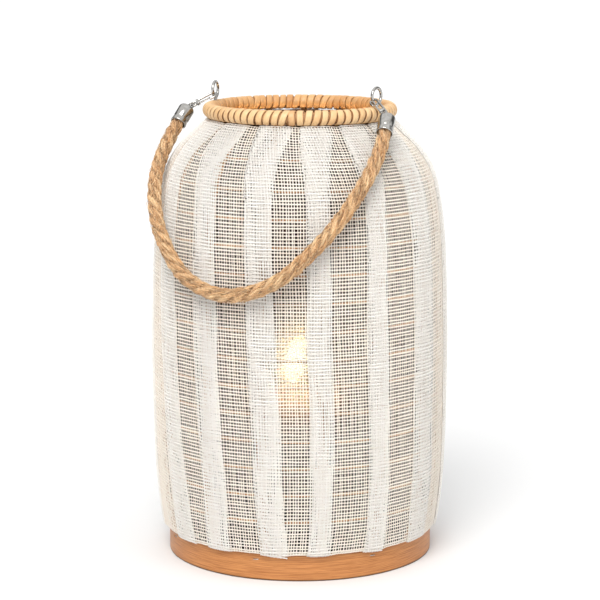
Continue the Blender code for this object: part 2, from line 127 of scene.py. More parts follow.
# ---------------------------------------------------------------- mesh helpers
def add_piece(name, shell, finish, body, slot, *nodes, smooth=True, sharp_from=None, **attributes):
    """A shell of points and blocks of faces, as a piece that rides on a body and stands for CAD nodes."""
    points, blocks = shell
    blocks = [np.asarray(block, dtype=np.int32) for block in blocks if len(block)]
    sizes = np.concatenate([np.full(len(block), block.shape[1]) for block in blocks])
    starts = np.concatenate([[0], np.cumsum(sizes)[:-1]])
    mesh = bpy.data.meshes.new(name)
    mesh.vertices.add(len(points))
    mesh.vertices.foreach_set("co", np.asarray(points, dtype=np.float32).ravel())
    mesh.loops.add(sizes.sum())
    mesh.loops.foreach_set("vertex_index", np.concatenate([block.ravel() for block in blocks]))
    mesh.polygons.add(len(sizes))
    mesh.polygons.foreach_set("loop_start", starts.astype(np.int32))
    mesh.update(calc_edges=True)
    for key, values in attributes.items():
        layer = mesh.attributes.new(key, "FLOAT", "POINT")
        layer.data.foreach_set("value", np.asarray(values, dtype=np.float32).ravel())
    if smooth:
        mesh.shade_smooth()
    if sharp_from:
        mesh.set_sharp_from_angle(angle=math.radians(sharp_from))
    mesh.materials.append(finish)
    obj = bpy.data.objects.new(name, mesh)
    bpy.context.scene.collection.objects.link(obj)
    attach(obj, body)
    if nodes:
        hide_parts(*nodes)
    return obj


def strands(centres, across, outward, half_width, half_height, sides, looped=False):
    """Closed tubes along many lines at once: centres, across and outward are (lines, stations, 3).

    across x outward points along the line; returns points and blocks of faces.
    """
    lines, stations, _ = centres.shape
    turn = turns_of(sides)
    wide = (np.broadcast_to(half_width, (lines, stations))[..., None] * np.cos(turn))[..., None]
    high = (np.broadcast_to(half_height, (lines, stations))[..., None] * np.sin(turn))[..., None]
    rings = centres[:, :, None] + across[:, :, None] * wide + outward[:, :, None] * high
    index = np.arange(lines * stations * sides).reshape(lines, stations, sides)
    low = index if looped else index[:, :-1]
    top = np.roll(index, -1, axis=1) if looped else index[:, 1:]
    quads = np.stack([low, np.roll(low, -1, axis=2), np.roll(top, -1, axis=2), top], axis=-1)
    blocks = [quads.reshape(-1, 4)]
    if not looped:
        blocks += [index[:, 0, ::-1], index[:, -1]]
    return rings.reshape(-1, 3), blocks


def facing_out(points, blocks):
    """A closed shell with its faces turned outwards."""
    volume = 0.0
    for block in blocks:
        corners = points[block]
        for second in range(1, block.shape[1] - 1):
            normals = np.cross(corners[:, second], corners[:, second + 1])
            volume += np.einsum("ij,ij->", corners[:, 0], normals)
    return points, blocks if volume > 0 else [block[:, ::-1] for block in blocks]


def section_sweep(sections, looped=False):
    """Skins an array (stations, corners, 3) of equal cross sections; open sweeps get end caps."""
    sections = np.asarray(sections, dtype=float)
    stations, corners, _ = sections.shape
    index = np.arange(stations * corners).reshape(stations, corners)
    low = index if looped else index[:-1]
    top = np.roll(index, -1, axis=0) if looped else index[1:]
    quads = np.stack([low, top, np.roll(top, -1, axis=1), np.roll(low, -1, axis=1)], axis=-1)
    blocks = [quads.reshape(-1, 4)]
    if not looped:
        blocks += [index[:1], index[-1:, ::-1]]
    return facing_out(sections.reshape(-1, 3), blocks)


def joined(shells):
    """Several (points, blocks) shells as one."""
    points, blocks, start = [], [], 0
    for shell_points, shell_blocks in shells:
        points.append(shell_points)
        blocks += [np.asarray(block) + start for block in shell_blocks if len(block)]
        start += len(shell_points)
    return np.concatenate(points), blocks


def reach_along(points):
    """The way from the first point to each point along a line."""
    return np.concatenate([[0], np.cumsum(np.linalg.norm(np.diff(points, axis=0), axis=1))])


def length_of(points):
    return float(np.linalg.norm(np.diff(points, axis=0), axis=1).sum())


def spline(points, count):
    """Evenly spaced points on a smooth curve through the given points."""
    knots = np.asarray(points, dtype=float)
    padded = np.vstack([2 * knots[0] - knots[1], knots, 2 * knots[-1] - knots[-2]])
    t = np.linspace(0.0, 1.0, 24, endpoint=False)[:, None]
    dense = []
    for a, b, c, d in zip(padded, padded[1:], padded[2:], padded[3:]):
        dense.append(0.5 * (2 * b + (c - a) * t + (2 * a - 5 * b + 4 * c - d) * t ** 2
                            + (3 * b - a - 3 * c + d) * t ** 3))
    dense = np.vstack([*dense, padded[-2:-1]])
    lengths = reach_along(dense)
    target = np.linspace(0.0, lengths[-1], count)
    return np.stack([np.interp(target, lengths, column) for column in dense.T], axis=1)


def unit(vectors):
    return vectors / np.linalg.norm(vectors, axis=-1, keepdims=True)


def swung(angle, first, second):
    """The first of two square vectors, swung towards the second."""
    return np.cos(angle)[..., None] * first + np.sin(angle)[..., None] * second


def about_z(radius, angle, height):
    """World points from radius, angle and height about the Z axis."""
    return np.stack(np.broadcast_arrays(radius * np.cos(angle), radius * np.sin(angle), height), axis=-1)


def polar(radius, degrees, height):
    return about_z(radius, math.radians(degrees), height)


def turns_of(steps):
    """Evenly spaced angles, once round."""
    return FULL_TURN * np.arange(steps) / steps


def squared_to(vectors, line):
    """Vectors made square to a line's directions, and one long."""
    return unit(vectors - (vectors * line).sum(axis=-1, keepdims=True) * line)


def carried_frames(points, looped=False):
    """Tangents and two side vectors along a line, turning as little as possible."""
    if looped:
        tangents = unit(np.roll(points, -1, axis=0) - np.roll(points, 1, axis=0))
    else:
        tangents = unit(np.gradient(points, axis=0))
    sides = [np.array(Vector(tangents[0]).orthogonal().normalized())]
    for tangent in tangents[1:]:
        side = sides[-1] - sides[-1].dot(tangent) * tangent
        sides.append(side / np.linalg.norm(side))
    sides = np.array(sides)
    return tangents, sides, np.cross(tangents, sides)


def round_wire(points, radius, sides=14, looped=False):
    """A round tube along a line of points, as (points, blocks)."""
    points = np.asarray(points, dtype=float)
    _, across, outward = carried_frames(points, looped)
    return strands(points[None], across[None], outward[None], radius, radius, sides, looped)


def turned_shell(outline, steps, wobble=0.0, lift=0.0):
    """A closed (radius, height) outline turned round Z; wobble and lift shift each of its sections."""
    radius, height = np.asarray(outline, dtype=float).T
    return section_sweep(about_z(radius + wobble, turns_of(steps)[:, None], height + lift), looped=True)


def arc(centre, radius, start, end, steps):
    """Points of an arc in a plane; angles in degrees, both ends included."""
    angles = np.radians(np.linspace(start, end, steps + 1))
    return [(centre[0] + radius * math.cos(a), centre[1] + radius * math.sin(a)) for a in angles]


def waves(rng, shape, span, amount):
    """Smooth random curves along the last axis, one for each row: sums of four slow sines."""
    rows, columns = shape
    place = np.arange(columns)[None, :]
    total = np.zeros(shape)
    for _ in range(4):
        period = span * rng.uniform(0.5, 2.0, (rows, 1))
        total += np.sin(FULL_TURN * (place / period + rng.uniform(0, 1, (rows, 1))))
    return amount * total / math.sqrt(2)


# ---------------------------------------------------------------- materials
GRAIN_RADIUS = 0.11             # at which the grain that runs round the hoop is measured
SHADE_GAUZE_HEM = 0.345               # height above which the sheet of painted shade is less dark
FLAME_FOOT = CANDLE_TOP + 0.006
FLAME_GLOW = 0.045              # height over which the flame's colour changes


class Nodes:
    """A node tree and the few patterns that this object needs."""

    def __init__(self, tree):
        self.tree = tree

    def feed(self, socket, value):
        """Links an output to a socket, or sets the socket to a number, vector or colour."""
        if isinstance(value, bpy.types.NodeSocket):
            self.tree.links.new(value, socket)
        else:
            socket.default_value = (*value, 1.0) if socket.type == "RGBA" else value

    def node(self, kind, inputs, output=0, **settings):
        """Adds a node, feeds its inputs and gives one of its outputs."""
        made = self.tree.nodes.new("ShaderNode" + kind)
        for key, value in settings.items():
            setattr(made, key, value)
        for key, value in inputs.items():
            self.feed(made.inputs[key], value)
        return made.outputs[output]

    def maths(self, operation, first, second=0.0):
        return self.node("Math", {0: first, 1: second}, operation=operation)

    def place(self, scale=(1, 1, 1)):
        """Object coordinates, stretched."""
        return self.node("Mapping", {"Vector": self.node("TexCoord", {}, "Object"), "Scale": scale})

    def coordinate(self, axis):
        return self.node("SeparateXYZ", {0: self.place()}, axis)

    def round_place(self, scale):
        """Coordinates (angle x radius, height, 0) about the Z axis, stretched."""
        angle = self.maths("ARCTAN2", self.coordinate("Y"), self.coordinate("X"))
        arc_length = self.maths("MULTIPLY", angle, GRAIN_RADIUS)
        flat = self.node("CombineXYZ", {"X": arc_length, "Y": self.coordinate("Z")})
        return self.node("Mapping", {"Vector": flat, "Scale": scale})

    def attribute(self, name):
        return self.node("Attribute", {}, "Fac", attribute_name=name)

    def stretched(self, **scales):
        """A vector of point attributes, each times its scale."""
        scaled = [self.maths("MULTIPLY", self.attribute(name), scale) for name, scale in scales.items()]
        return self.node("CombineXYZ", dict(enumerate(scaled)))

    def noise(self, vector, scale, detail=3.0, roughness=0.55):
        return self.node("TexNoise", {"Vector": vector, "Scale": scale, "Detail": detail,
                                      "Roughness": roughness}, "Fac")

    def ramp(self, value, *stops):
        made = self.node("ValToRGB", {"Fac": value}, "Color")
        elements = made.node.color_ramp.elements
        for _ in stops[2:]:
            elements.new(0.5)
        for element, (position, colour) in zip(elements, stops):
            element.position = position
            element.color = (*colour, 1.0)
        return made

    def blend(self, share, first, second, mode="MIX"):
        return self.node("Mix", {0: share, 6: first, 7: second}, 2, data_type="RGBA", blend_type=mode)

    def over(self, tone, share, pattern, *stops):
        """A tone with a pattern's own colours laid over it."""
        return self.blend(share, tone, self.ramp(pattern, *stops))

    def shaders(self, share, first, second):
        return self.node("MixShader", {0: share, 1: first, 2: second})


class Finish(Nodes):
    """A Principled material."""

    def __init__(self, name, roughness, **sockets):
        self.material = bpy.data.materials.new(name)
        self.material.use_nodes = True
        super().__init__(self.material.node_tree)
        self.shader = self.tree.nodes["Principled BSDF"]
        self.shader.inputs["Roughness"].default_value = roughness
        for key, value in sockets.items():
            self.shader.inputs[key.replace("_", " ")].default_value = value

    def colour(self, output):
        self.feed(self.shader.inputs["Base Color"], output)

    def rough(self, value, low, high):
        spread = self.node("MapRange", {"Value": value, "To Min": low, "To Max": high})
        self.feed(self.shader.inputs["Roughness"], spread)

    def bump(self, height, strength, distance):
        bumped = self.node("Bump", {"Height": height, "Strength": strength, "Distance": distance})
        self.feed(self.shader.inputs["Normal"], bumped)

    def surface(self, output):
        self.feed(self.tree.nodes["Material Output"].inputs["Surface"], output)


def cotton_finish():
    """Slubby off-white yarn: the tone changes from thread to thread, with a fine twist."""
    made = Finish("cotton_yarn", 0.92, Sheen_Weight=0.25, Sheen_Roughness=0.6, Specular_IOR_Level=0.25)
    tone = made.ramp(made.attribute("tone"), (0.0, (0.82, 0.76, 0.69)), (0.5, (0.89, 0.855, 0.805)),
                     (1.0, (0.94, 0.92, 0.885)))
    flecks = made.noise(made.place(), 900, 2)
    flecked = made.over(tone, 0.16, flecks, (0.3, (0.72, 0.66, 0.58)), (0.7, (1.0, 0.98, 0.95)))
    # painted warm light: threads where the cloth lies in a single layer are tinted warmer, as if lit from
    # inside the lantern
    made.colour(made.blend(made.attribute("single"), flecked, (1.0, 0.955, 0.90), "MULTIPLY"))
    made.rough(flecks, 0.84, 0.96)
    made.bump(made.noise(made.place(), 2600, 2), 0.5, 0.0003)
    return made.material


def bamboo_finish():
    """Split bamboo: reddish brown with streaks along each strip."""
    made = Finish("split_bamboo", 0.55, Specular_IOR_Level=0.4)
    streaks = made.noise(made.place((900, 900, 26)), 1.0, 4)
    patches = made.noise(made.place(), 30, 3)
    tone = made.ramp(patches, (0.3, (0.30, 0.12, 0.045)), (0.7, (0.52, 0.27, 0.11)))
    made.colour(made.over(tone, 0.45, streaks, (0.35, (0.22, 0.09, 0.04)), (0.68, (0.62, 0.36, 0.17))))
    made.rough(streaks, 0.45, 0.7)
    made.bump(streaks, 0.4, 0.0003)
    return made.material


def cane_finish():
    """Peeled cane: pale straw, each wrap a little different, with grain along the strip; painted shade
    darkens each wrap's edges on its outer, lower side, and darkens and warms the side that faces the
    lantern's inside.
    """
    made = Finish("peeled_cane", 0.42, Coat_Weight=0.12, Coat_Roughness=0.35, Specular_IOR_Level=0.5)
    tone = made.ramp(made.attribute("tone"), (0.0, (0.60, 0.29, 0.105)), (0.45, (0.76, 0.46, 0.21)),
                     (1.0, (0.89, 0.64, 0.36)))
    grain = made.noise(made.stretched(across=9.0, along=60.0, tone=50.0), 1.0, 4)
    blotches = made.noise(made.place(), 120, 3)
    grained = made.over(tone, 0.3, grain, (0.34, (0.44, 0.20, 0.065)), (0.66, (0.92, 0.70, 0.40)))
    blotched = made.over(grained, 0.22, blotches, (0.3, (0.52, 0.26, 0.09)), (0.62, (0.88, 0.65, 0.36)))
    # painted shade in the slits between wraps: the edges of each wrap turn dark, on the outer, lower side
    # only
    edge = made.maths("POWER", made.maths("ABSOLUTE", made.attribute("across")), 15.0)
    slit_shade = made.maths("MULTIPLY", edge, made.attribute("outer"))
    slit_shaded = made.blend(slit_shade, blotched, (0.26, 0.13, 0.07), "MULTIPLY")
    # painted shade, warmed as by the candle: darker and more orange on the side that faces the lantern's
    # inside
    made.colour(made.blend(made.attribute("inner"), slit_shaded, (0.84, 0.70, 0.56), "MULTIPLY"))
    made.rough(grain, 0.34, 0.55)
    made.bump(grain, 0.35, 0.0002)
    return made.material


def hoop_finish():
    """Bent wood veneer: fine grain running round the hoop, and a painted contact shadow, a dark bluish line
    at its foot.
    """
    made = Finish("bent_wood", 0.42, Coat_Weight=0.05, Coat_Roughness=0.3, Specular_IOR_Level=0.4)
    fine = made.noise(made.round_place((30, 1500, 1)), 1.0, 5, 0.6)
    broad = made.noise(made.round_place((9, 260, 1)), 1.0, 3)
    pores = made.noise(made.round_place((90, 4200, 1)), 1.0, 2)
    tone = made.ramp(broad, (0.3, (0.42, 0.140, 0.032)), (0.52, (0.55, 0.205, 0.054)),
                     (0.72, (0.66, 0.275, 0.084)))
    grained = made.over(tone, 0.62, fine, (0.38, (0.27, 0.080, 0.016)), (0.58, (0.69, 0.305, 0.096)))
    pored = made.over(grained, 0.2, pores, (0.4, (0.26, 0.085, 0.022)), (0.55, (0.70, 0.32, 0.12)))
    # painted contact shadow: darkens the wood below about 1.7 mm, most of all below 0.9 mm
    foot = made.ramp(made.maths("MULTIPLY", made.coordinate("Z"), 100.0), (0.09, (0.22, 0.24, 0.27)),
                     (0.17, (0.90, 0.90, 0.90)))
    made.colour(made.blend(1.0, pored, foot, "MULTIPLY"))
    made.rough(fine, 0.34, 0.5)
    made.bump(fine, 0.25, 0.0002)
    return made.material


def ply_finish():
    """Sanded plywood with the face grain along X."""
    made = Finish("plywood", 0.6, Specular_IOR_Level=0.35)
    grain = made.noise(made.place((14, 320, 300)), 1.0, 4)
    made.colour(made.ramp(grain, (0.3, (0.44, 0.25, 0.11)), (0.7, (0.66, 0.44, 0.24))))
    made.rough(grain, 0.5, 0.7)
    made.bump(grain, 0.3, 0.0003)
    return made.material


def jute_finish():
    """Golden jute: yarns and single fibres differ in tone, dull with a faint sheen."""
    made = Finish("jute", 0.85, Sheen_Weight=0.2, Sheen_Roughness=0.5, Specular_IOR_Level=0.3)
    tone = made.ramp(made.attribute("tone"), (0.0, (0.10, 0.034, 0.009)), (0.35, (0.68, 0.33, 0.125)),
                     (1.0, (1.0, 0.73, 0.42)))
    fibres = made.noise(made.stretched(around=11.0, along=380.0, tone=90.0), 1.0, 4)
    made.colour(made.over(tone, 0.50, fibres, (0.38, (0.07, 0.022, 0.006)), (0.48, (0.71, 0.355, 0.137)),
                          (0.58, (1.0, 0.77, 0.47))))
    made.rough(fibres, 0.75, 0.95)
    made.bump(fibres, 1.0, 0.0012)
    return made.material


def metal_finish():
    """Bright plated steel with faint wear."""
    made = Finish("plated_steel", 0.16, Metallic=1.0)
    wear = made.noise(made.place(), 300, 4)
    made.colour(made.ramp(wear, (0.3, (0.40, 0.385, 0.36)), (0.65, (0.52, 0.51, 0.49))))
    made.rough(wear, 0.08, 0.16)
    made.bump(made.noise(made.place(), 900, 2), 0.03, 0.0001)
    return made.material


def glass_finish():
    """Slightly hazy glass with a faint unevenness; lamps shine through it."""
    refraction = 1.45
    made = Finish("clear_glass", 0.02, Transmission_Weight=1.0, IOR=refraction)
    streaks = made.noise(made.place((20, 20, 4)), 1.0, 2)
    made.colour(made.ramp(streaks, (0.3, (0.93, 0.96, 0.95)), (0.7, (0.98, 0.99, 0.985))))
    made.bump(streaks, 0.05, 0.0005)
    haze = made.node("BsdfGlass", {"Roughness": 0.48, "IOR": refraction})
    hazy = made.shaders(0.55, made.shader.outputs[0], haze)
    is_shadow = made.node("LightPath", {}, "Is Shadow Ray")
    made.surface(made.shaders(is_shadow, hazy, made.node("BsdfTransparent", {})))
    return made.material


def wax_finish():
    """Ivory candle wax, with painted light: lighter and warmer towards the top, and a painted glow near the
    top as if lit from inside by the flame.
    """
    made = Finish("candle_wax", 0.4, Subsurface_Weight=0.35, Subsurface_Scale=0.012,
                  Emission_Strength=16.0)
    mottle = made.noise(made.place(), 60, 3)
    height = made.maths("MULTIPLY", made.coordinate("Z"), 1 / CANDLE_TOP)
    # painted light: the wax is lighter and warmer towards the top
    tone = made.ramp(height, (0.3, (0.86, 0.76, 0.58)), (0.95, (0.97, 0.84, 0.60)))
    made.colour(made.over(tone, 0.15, mottle, (0.3, (0.80, 0.68, 0.48)), (0.7, (0.98, 0.92, 0.78))))
    made.rough(mottle, 0.32, 0.5)
    made.bump(mottle, 0.12, 0.0008)
    # painted glow: emission from about 0.7 of the candle's height up, brightest at its top
    lit = made.ramp(height, (0.70, (0.0, 0.0, 0.0)), (0.86, (0.10, 0.038, 0.010)), (1.0, (1.0, 0.50, 0.19)))
    made.feed(made.shader.inputs["Emission Color"], lit)
    return made.material


def wick_finish():
    """Charred braid."""
    made = Finish("charred_wick", 0.9)
    char = made.noise(made.place(), 1800, 3)
    made.colour(made.ramp(char, (0.3, (0.012, 0.010, 0.009)), (0.7, (0.09, 0.065, 0.05))))
    made.bump(char, 0.6, 0.0003)
    return made.material


def flame_finish():
    """A candle flame: dim and bluish at its root, bright yellow-white above."""
    made = Finish("candle_flame", 1.0)
    lift = made.maths("SUBTRACT", made.coordinate("Z"), FLAME_FOOT)
    share = made.maths("MULTIPLY", lift, 1 / FLAME_GLOW)
    colours = made.ramp(share, (0.02, (0.20, 0.16, 0.30)), (0.12, (1.0, 0.62, 0.24)),
                        (0.40, (1.0, 0.86, 0.55)), (1.0, (1.0, 0.60, 0.20)))
    made.surface(made.node("Emission", {"Color": colours, "Strength": 150.0}))
    return made.material


def shade_gauze_finish():
    """Painted shade: a sheer, dark brown sheet standing for the shade inside the cage, lighter along its
    upper hem.
    """
    made = Finish("dark_gauze", 0.95, Alpha=0.76, Specular_IOR_Level=0.1)
    weave = made.noise(made.place((700, 700, 700)), 1.0, 2)
    dark = made.ramp(weave, (0.3, (0.022, 0.005, 0.0015)), (0.7, (0.055, 0.013, 0.004)))
    hem = made.maths("MULTIPLY", made.maths("SUBTRACT", made.coordinate("Z"), SHADE_GAUZE_HEM), 60.0)
    made.colour(made.blend(hem, dark, (0.12, 0.050, 0.020)))
    made.bump(weave, 0.3, 0.0003)
    return made.material


# ---------------------------------------------------------------- the handle's fittings
class Side:
    """The working frames of the fittings on one side; sign is +1 or -1."""

    def __init__(self, sign, label):
        self.label = label
        self.eye = np.array([sign * EYE_X, EYE_Y, EYE_Z])
        yaw = math.radians(EYE_YAW)
        self.eye_across = np.array([sign * math.sin(yaw), math.cos(yaw), 0.0])
        mirror = np.array([sign, 1.0, 1.0])
        self.top = mirror * ROPE_HALF[-1]
        self.axis = unit(mirror * ROPE_HALF[-2] - self.top)
        pull = unit(self.top - self.eye)
        lean = unit(np.array([0.0, pull[1], pull[2]]))
        self.grip = self.eye + EYE_RADIUS * (lean[1] * self.eye_across + lean[2] * UP)
        tangent = -lean[2] * self.eye_across + lean[1] * UP
        self.u = unit(self.top - self.grip)
        self.n = unit(tangent - tangent.dot(self.u) * self.u)
        self.v = np.cross(self.n, self.u)
        if self.v[2] > 0:
            self.v = -self.v
            self.n = -self.n
        self.tail = float(np.linalg.norm(self.top - self.grip)) - TAIL_SETBACK
        self.pivot = (self.tail - 0.0034, 0.0014)
        self.link = self.tail + 0.0001 + LINK_RADIUS

    def point(self, u, v, n=0.0):
        return self.grip + u * self.u + v * self.v + n * self.n

    def points(self, path):
        return np.array([self.point(*p) for p in path])

    def add(self, name, shell, metal, body, node):
        """Adds one of this side's metal pieces."""
        add_piece(f"{name}_{self.label}", shell, metal, body, "metal", f"{node}_{self.label}")


def rounded_plate(outline, thickness, side, shift=0.0):
    """A flat plate in a side's (u, v) plane with a small chamfer."""
    outline = np.asarray(outline, dtype=float)
    centre = outline.mean(axis=0)
    layers = []
    for height, shrink in ((-0.5, 0.86), (-0.36, 1.0), (0.36, 1.0), (0.5, 0.86)):
        ring = centre + (outline - centre) * shrink
        layers.append([side.point(u, v, shift + height * thickness) for u, v in ring])
    return section_sweep(layers)


def screw_eye(side, metal):
    """The eye on the rim: a straight shank that bends into a ring."""
    path = [(0.0, SHANK_BOTTOM - EYE_Z), (0.0, -EYE_RADIUS - 0.0040), (0.0, -EYE_RADIUS - 0.0022),
            (0.0013, -EYE_RADIUS - 0.0001)]
    path += arc((0.0, 0.0), EYE_RADIUS, -62, 238, 26)
    yaw = math.radians(EYE_YAW + EYE_TURN)
    turned = np.array([math.copysign(math.sin(yaw), side.eye[0]), math.cos(yaw), 0.0])
    line = spline([side.eye + a * turned + b * UP for a, b in path], 150)
    side.add("screw_eye", round_wire(line, EYE_WIRE, 16), metal, "lantern", "eye")


def snap_hook(side, metal):
    """The bent wire of the hook with the two cheeks that hold its gate."""
    half = HOOK_HALF_WIDTH
    path = [(0.0040, half - 0.0001), (0.0020, half)]
    path += arc((0.00035, 0.0), half, 96, 264, 14)
    path += [(0.0060, -half + 0.0002), (0.0100, -half + 0.0004), (side.tail - 0.0030, -TAIL_RADIUS - 0.0002)]
    path += arc((side.tail, 0.0), TAIL_RADIUS, -90, 150, 16)
    line = spline(side.points(path), 190)
    radii = np.full(len(line), HOOK_WIRE)
    radii[:5] = HOOK_WIRE * np.array([0.45, 0.75, 0.90, 0.97, 1.0])
    cheek = arc(side.pivot, 0.0014, 0, 180, 12) + arc((side.pivot[0], -TAIL_RADIUS), 0.00098, 180, 360, 10)
    shells = [round_wire(line, radii[None], 14)]
    shells += [rounded_plate(cheek, 0.00075, side, face * 0.00108) for face in (-1, 1)]
    side.add("snap_hook", joined(shells), metal, "handle", "hook")


def snap_gate(side, metal):
    """The flat lever that shuts the hook, and the chamfered pin that it turns on."""
    lever = arc(side.pivot, 0.0011, -100, 90, 14)
    lever += [(0.0078, 0.0021), (0.0032, 0.00155), (0.0027, 0.0014), (0.0026, 0.0010), (0.0030, 0.0007),
              (0.0078, 0.0010)]
    side.add("snap_gate", rounded_plate(lever, 0.0008, side), metal, f"gate_{side.label}", "gate")

    pin_half, pin_radius, chamfer = 0.0017, 0.0005, 0.0001
    ends = (-pin_half, -pin_half + chamfer, pin_half - chamfer, pin_half)
    centres = np.array([side.point(*side.pivot, n) for n in ends])
    radii = np.array([0.75, 1.0, 1.0, 0.75]) * pin_radius
    across = np.broadcast_to(side.u, centres.shape)
    outward = np.broadcast_to(side.v, centres.shape)
    pin = strands(centres[None], across[None], outward[None], radii[None], radii[None], 16)
    side.add("snap_pin", pin, metal, "handle", "gate_pin")


def split_ring(side, metal):
    """The small ring between the hook's tail and the ferrule's bail."""
    loop = [(side.link + LINK_RADIUS * math.cos(a), 0.0, LINK_RADIUS * math.sin(a))
            for a in turns_of(56)]
    ring = round_wire(side.points(loop), LINK_WIRE, 12, looped=True)
    side.add("split_ring", ring, metal, "handle", "link_ring")


def rope_ferrule(side, metal):
    """The crimped cup on the rope's end, with its wire bail."""
    across = unit(np.cross(side.axis, side.v))
    upright = unit(np.cross(across, side.axis))
    r, end, bore, inside = FERRULE_RADIUS, FERRULE_LENGTH, FERRULE_BORE, 0.0022
    outline = [(0.0000, 0.0006), (0.0000, 0.0030), (0.0002, 0.0044), (0.0007, 0.0056), (0.0015, 0.0064),
               (0.0024, r), (0.0034, r + 0.00005), (0.0060, r), (0.0122, r - 0.0001), (0.0128, r - 0.00035),
               (0.0134, r - 0.0004), (0.0140, r - 0.00035), (0.0146, r - 0.0001), (0.0164, r),
               (end - 0.0010, r + 0.00015), (end - 0.0003, r + 0.0001), (end, r - 0.0003),
               (end, bore + 0.0002), (end - 0.0004, bore), (inside, bore), (inside, 0.0006)]
    cup = section_sweep([[side.top + a * side.axis + b * (math.cos(t) * across + math.sin(t) * upright)
                          for a, b in outline] for t in turns_of(72)], looped=True)
    apex = side.tail + 0.0001 + 2 * LINK_RADIUS - LINK_WIRE - BAIL_WIRE - 0.0003
    crown = side.point(apex, 0.0) + BAIL_RADIUS * side.u
    foot = side.top + 0.0012 * side.axis
    bow = [foot + BAIL_RADIUS * side.v]
    bow += [crown + BAIL_RADIUS * (math.cos(a) * side.v - math.sin(a) * side.u)
            for a in np.linspace(0, np.pi, 15)]
    bow.append(foot - BAIL_RADIUS * side.v)
    bail = round_wire(spline(bow, 70), BAIL_WIRE, 12)
    side.add("rope_ferrule", joined([cup, bail]), metal, "handle", "ferrule")


# ---------------------------------------------------------------- rope
STATIONS = 341
STRANDS = 3
YARNS = 7                       # in each strand
STRAND_LAY = 0.0345             # length of rope in which a strand goes once round
YARN_LAY = 0.0210
STRAND_OFFSET = 0.00325
YARN_OFFSET = 0.00200
CORE_RADIUS = 0.00185           # of the core in the middle of each strand
YARN_RADIUS = 0.00096
YARN_SIDES = 6
HAIR_ROOT = 0.0050              # distance of the fibres' roots from the rope's middle
RADIAN_STEPS = 5.8              # stations that make one radian round the rope
HAIRS = 4900
HAIR_BENDS = 4
HAIR_SIDES = 3


def rope_path():
    """The rope's centre line between its two hidden ends, 10 mm inside the ferrules."""
    half = np.array(ROPE_HALF)
    line = spline(np.vstack([(half * (-1, 1, 1))[::-1], half[1:]]), 1601)
    lengths = reach_along(line)
    start = FERRULE_LENGTH - ROPE_GRIP
    kept = line[(lengths > start) & (lengths < lengths[-1] - start)]
    return spline(kept[::8], STATIONS)


def yarns(path, frames, rng):
    """Three strands laid left-handed, each a core and seven yarns twisted the other way."""
    tangent, side, cross = frames
    reach = np.linspace(0.0, length_of(path), STATIONS)
    grip_depth = np.minimum(reach, reach[-1] - reach) - ROPE_GRIP
    swell = 0.86 + 0.14 * np.clip((grip_depth - 0.0005) / 0.006, 0.0, 1.0)
    slope = math.atan(FULL_TURN * STRAND_OFFSET / STRAND_LAY)
    row = (1, STATIONS)
    lines = []
    for strand in range(STRANDS):
        turn = FULL_TURN * (strand / STRANDS - reach / STRAND_LAY) + waves(rng, row, 60, 0.05)[0]
        radial = swung(turn, side, cross)
        around = swung(turn, cross, -side)
        binormal = math.sin(slope) * tangent + math.cos(slope) * around
        middle = path + radial * (STRAND_OFFSET * swell)[:, None]
        lines.append((middle, radial, binormal, CORE_RADIUS * swell, np.zeros(STATIONS)))
        for yarn in range(YARNS):
            phase = FULL_TURN * (yarn / YARNS + strand * 0.13 + reach / YARN_LAY)
            phase = phase + waves(rng, row, 70, 0.10)[0]
            stray = 1.0 + waves(rng, row, 45, 0.045)[0]
            outward = swung(phase, radial, binormal)
            centre = middle + outward * (YARN_OFFSET * stray * swell)[:, None]
            line = unit(np.gradient(centre, axis=0))
            outward = squared_to(outward, line)
            width = YARN_RADIUS * swell * (1.0 + waves(rng, row, 22, 0.07)[0])
            tone = np.clip(rng.uniform(0.16, 0.86) + waves(rng, row, 30, 0.16)[0], 0, 1)
            lines.append((centre, np.cross(outward, line), outward, width, tone))
    centres, across, outward, widths, tones = (np.array(column) for column in zip(*lines))
    shell = strands(centres, across, outward, widths, widths * 0.92, YARN_SIDES)
    along = np.repeat(np.broadcast_to(reach, tones.shape), YARN_SIDES)
    around = np.tile(np.abs(np.arange(YARN_SIDES) - YARN_SIDES / 2) / YARN_SIDES, tones.size)
    return shell, np.repeat(tones, YARN_SIDES), along, around


def fuzz(path, frames, rng):
    """Loose fibres on the rope, most of them lying along it."""
    _, side, cross = frames
    steps = np.linspace(0, 1, HAIR_BENDS)
    rows = (HAIRS, 1)
    size = rng.uniform(2.5, 6.8, rows)
    heading = rng.normal(0, 0.5, rows).clip(-1.3, 1.3)
    place = rng.uniform(12, STATIONS - 13, rows) + rng.choice([-1, 1], rows) * size * steps
    turn = rng.uniform(0, FULL_TURN, rows) + heading * size * steps / RADIAN_STEPS
    turn += rng.normal(0, 0.12, rows) * size / RADIAN_STEPS * steps ** 2
    lift = 0.02 + 0.36 * rng.uniform(0, 1, rows) ** 3
    rise = HAIR_ROOT + np.minimum(size * MM * lift * steps ** 1.3, 0.0029)
    spot = np.stack([np.interp(place, np.arange(STATIONS), column) for column in path.T], axis=-1)
    near = place.astype(int)
    radial = swung(turn, side[near], cross[near])
    lines = spot + radial * rise[..., None]
    along = unit(np.gradient(lines, axis=1))
    outward = squared_to(radial, along)
    width = rng.uniform(0.00013, 0.00033, HAIRS)[:, None] * np.linspace(1.0, 0.35, HAIR_BENDS)[None]
    shell = strands(lines, np.cross(outward, along), outward, width, width, HAIR_SIDES)
    tone = np.repeat(rng.beta(0.50, 0.42, HAIRS), HAIR_BENDS * HAIR_SIDES)
    around = np.repeat(rng.uniform(0, 1, HAIRS), HAIR_BENDS * HAIR_SIDES)
    return shell, tone, np.tile(np.repeat(steps * 0.005, HAIR_SIDES), HAIRS), around


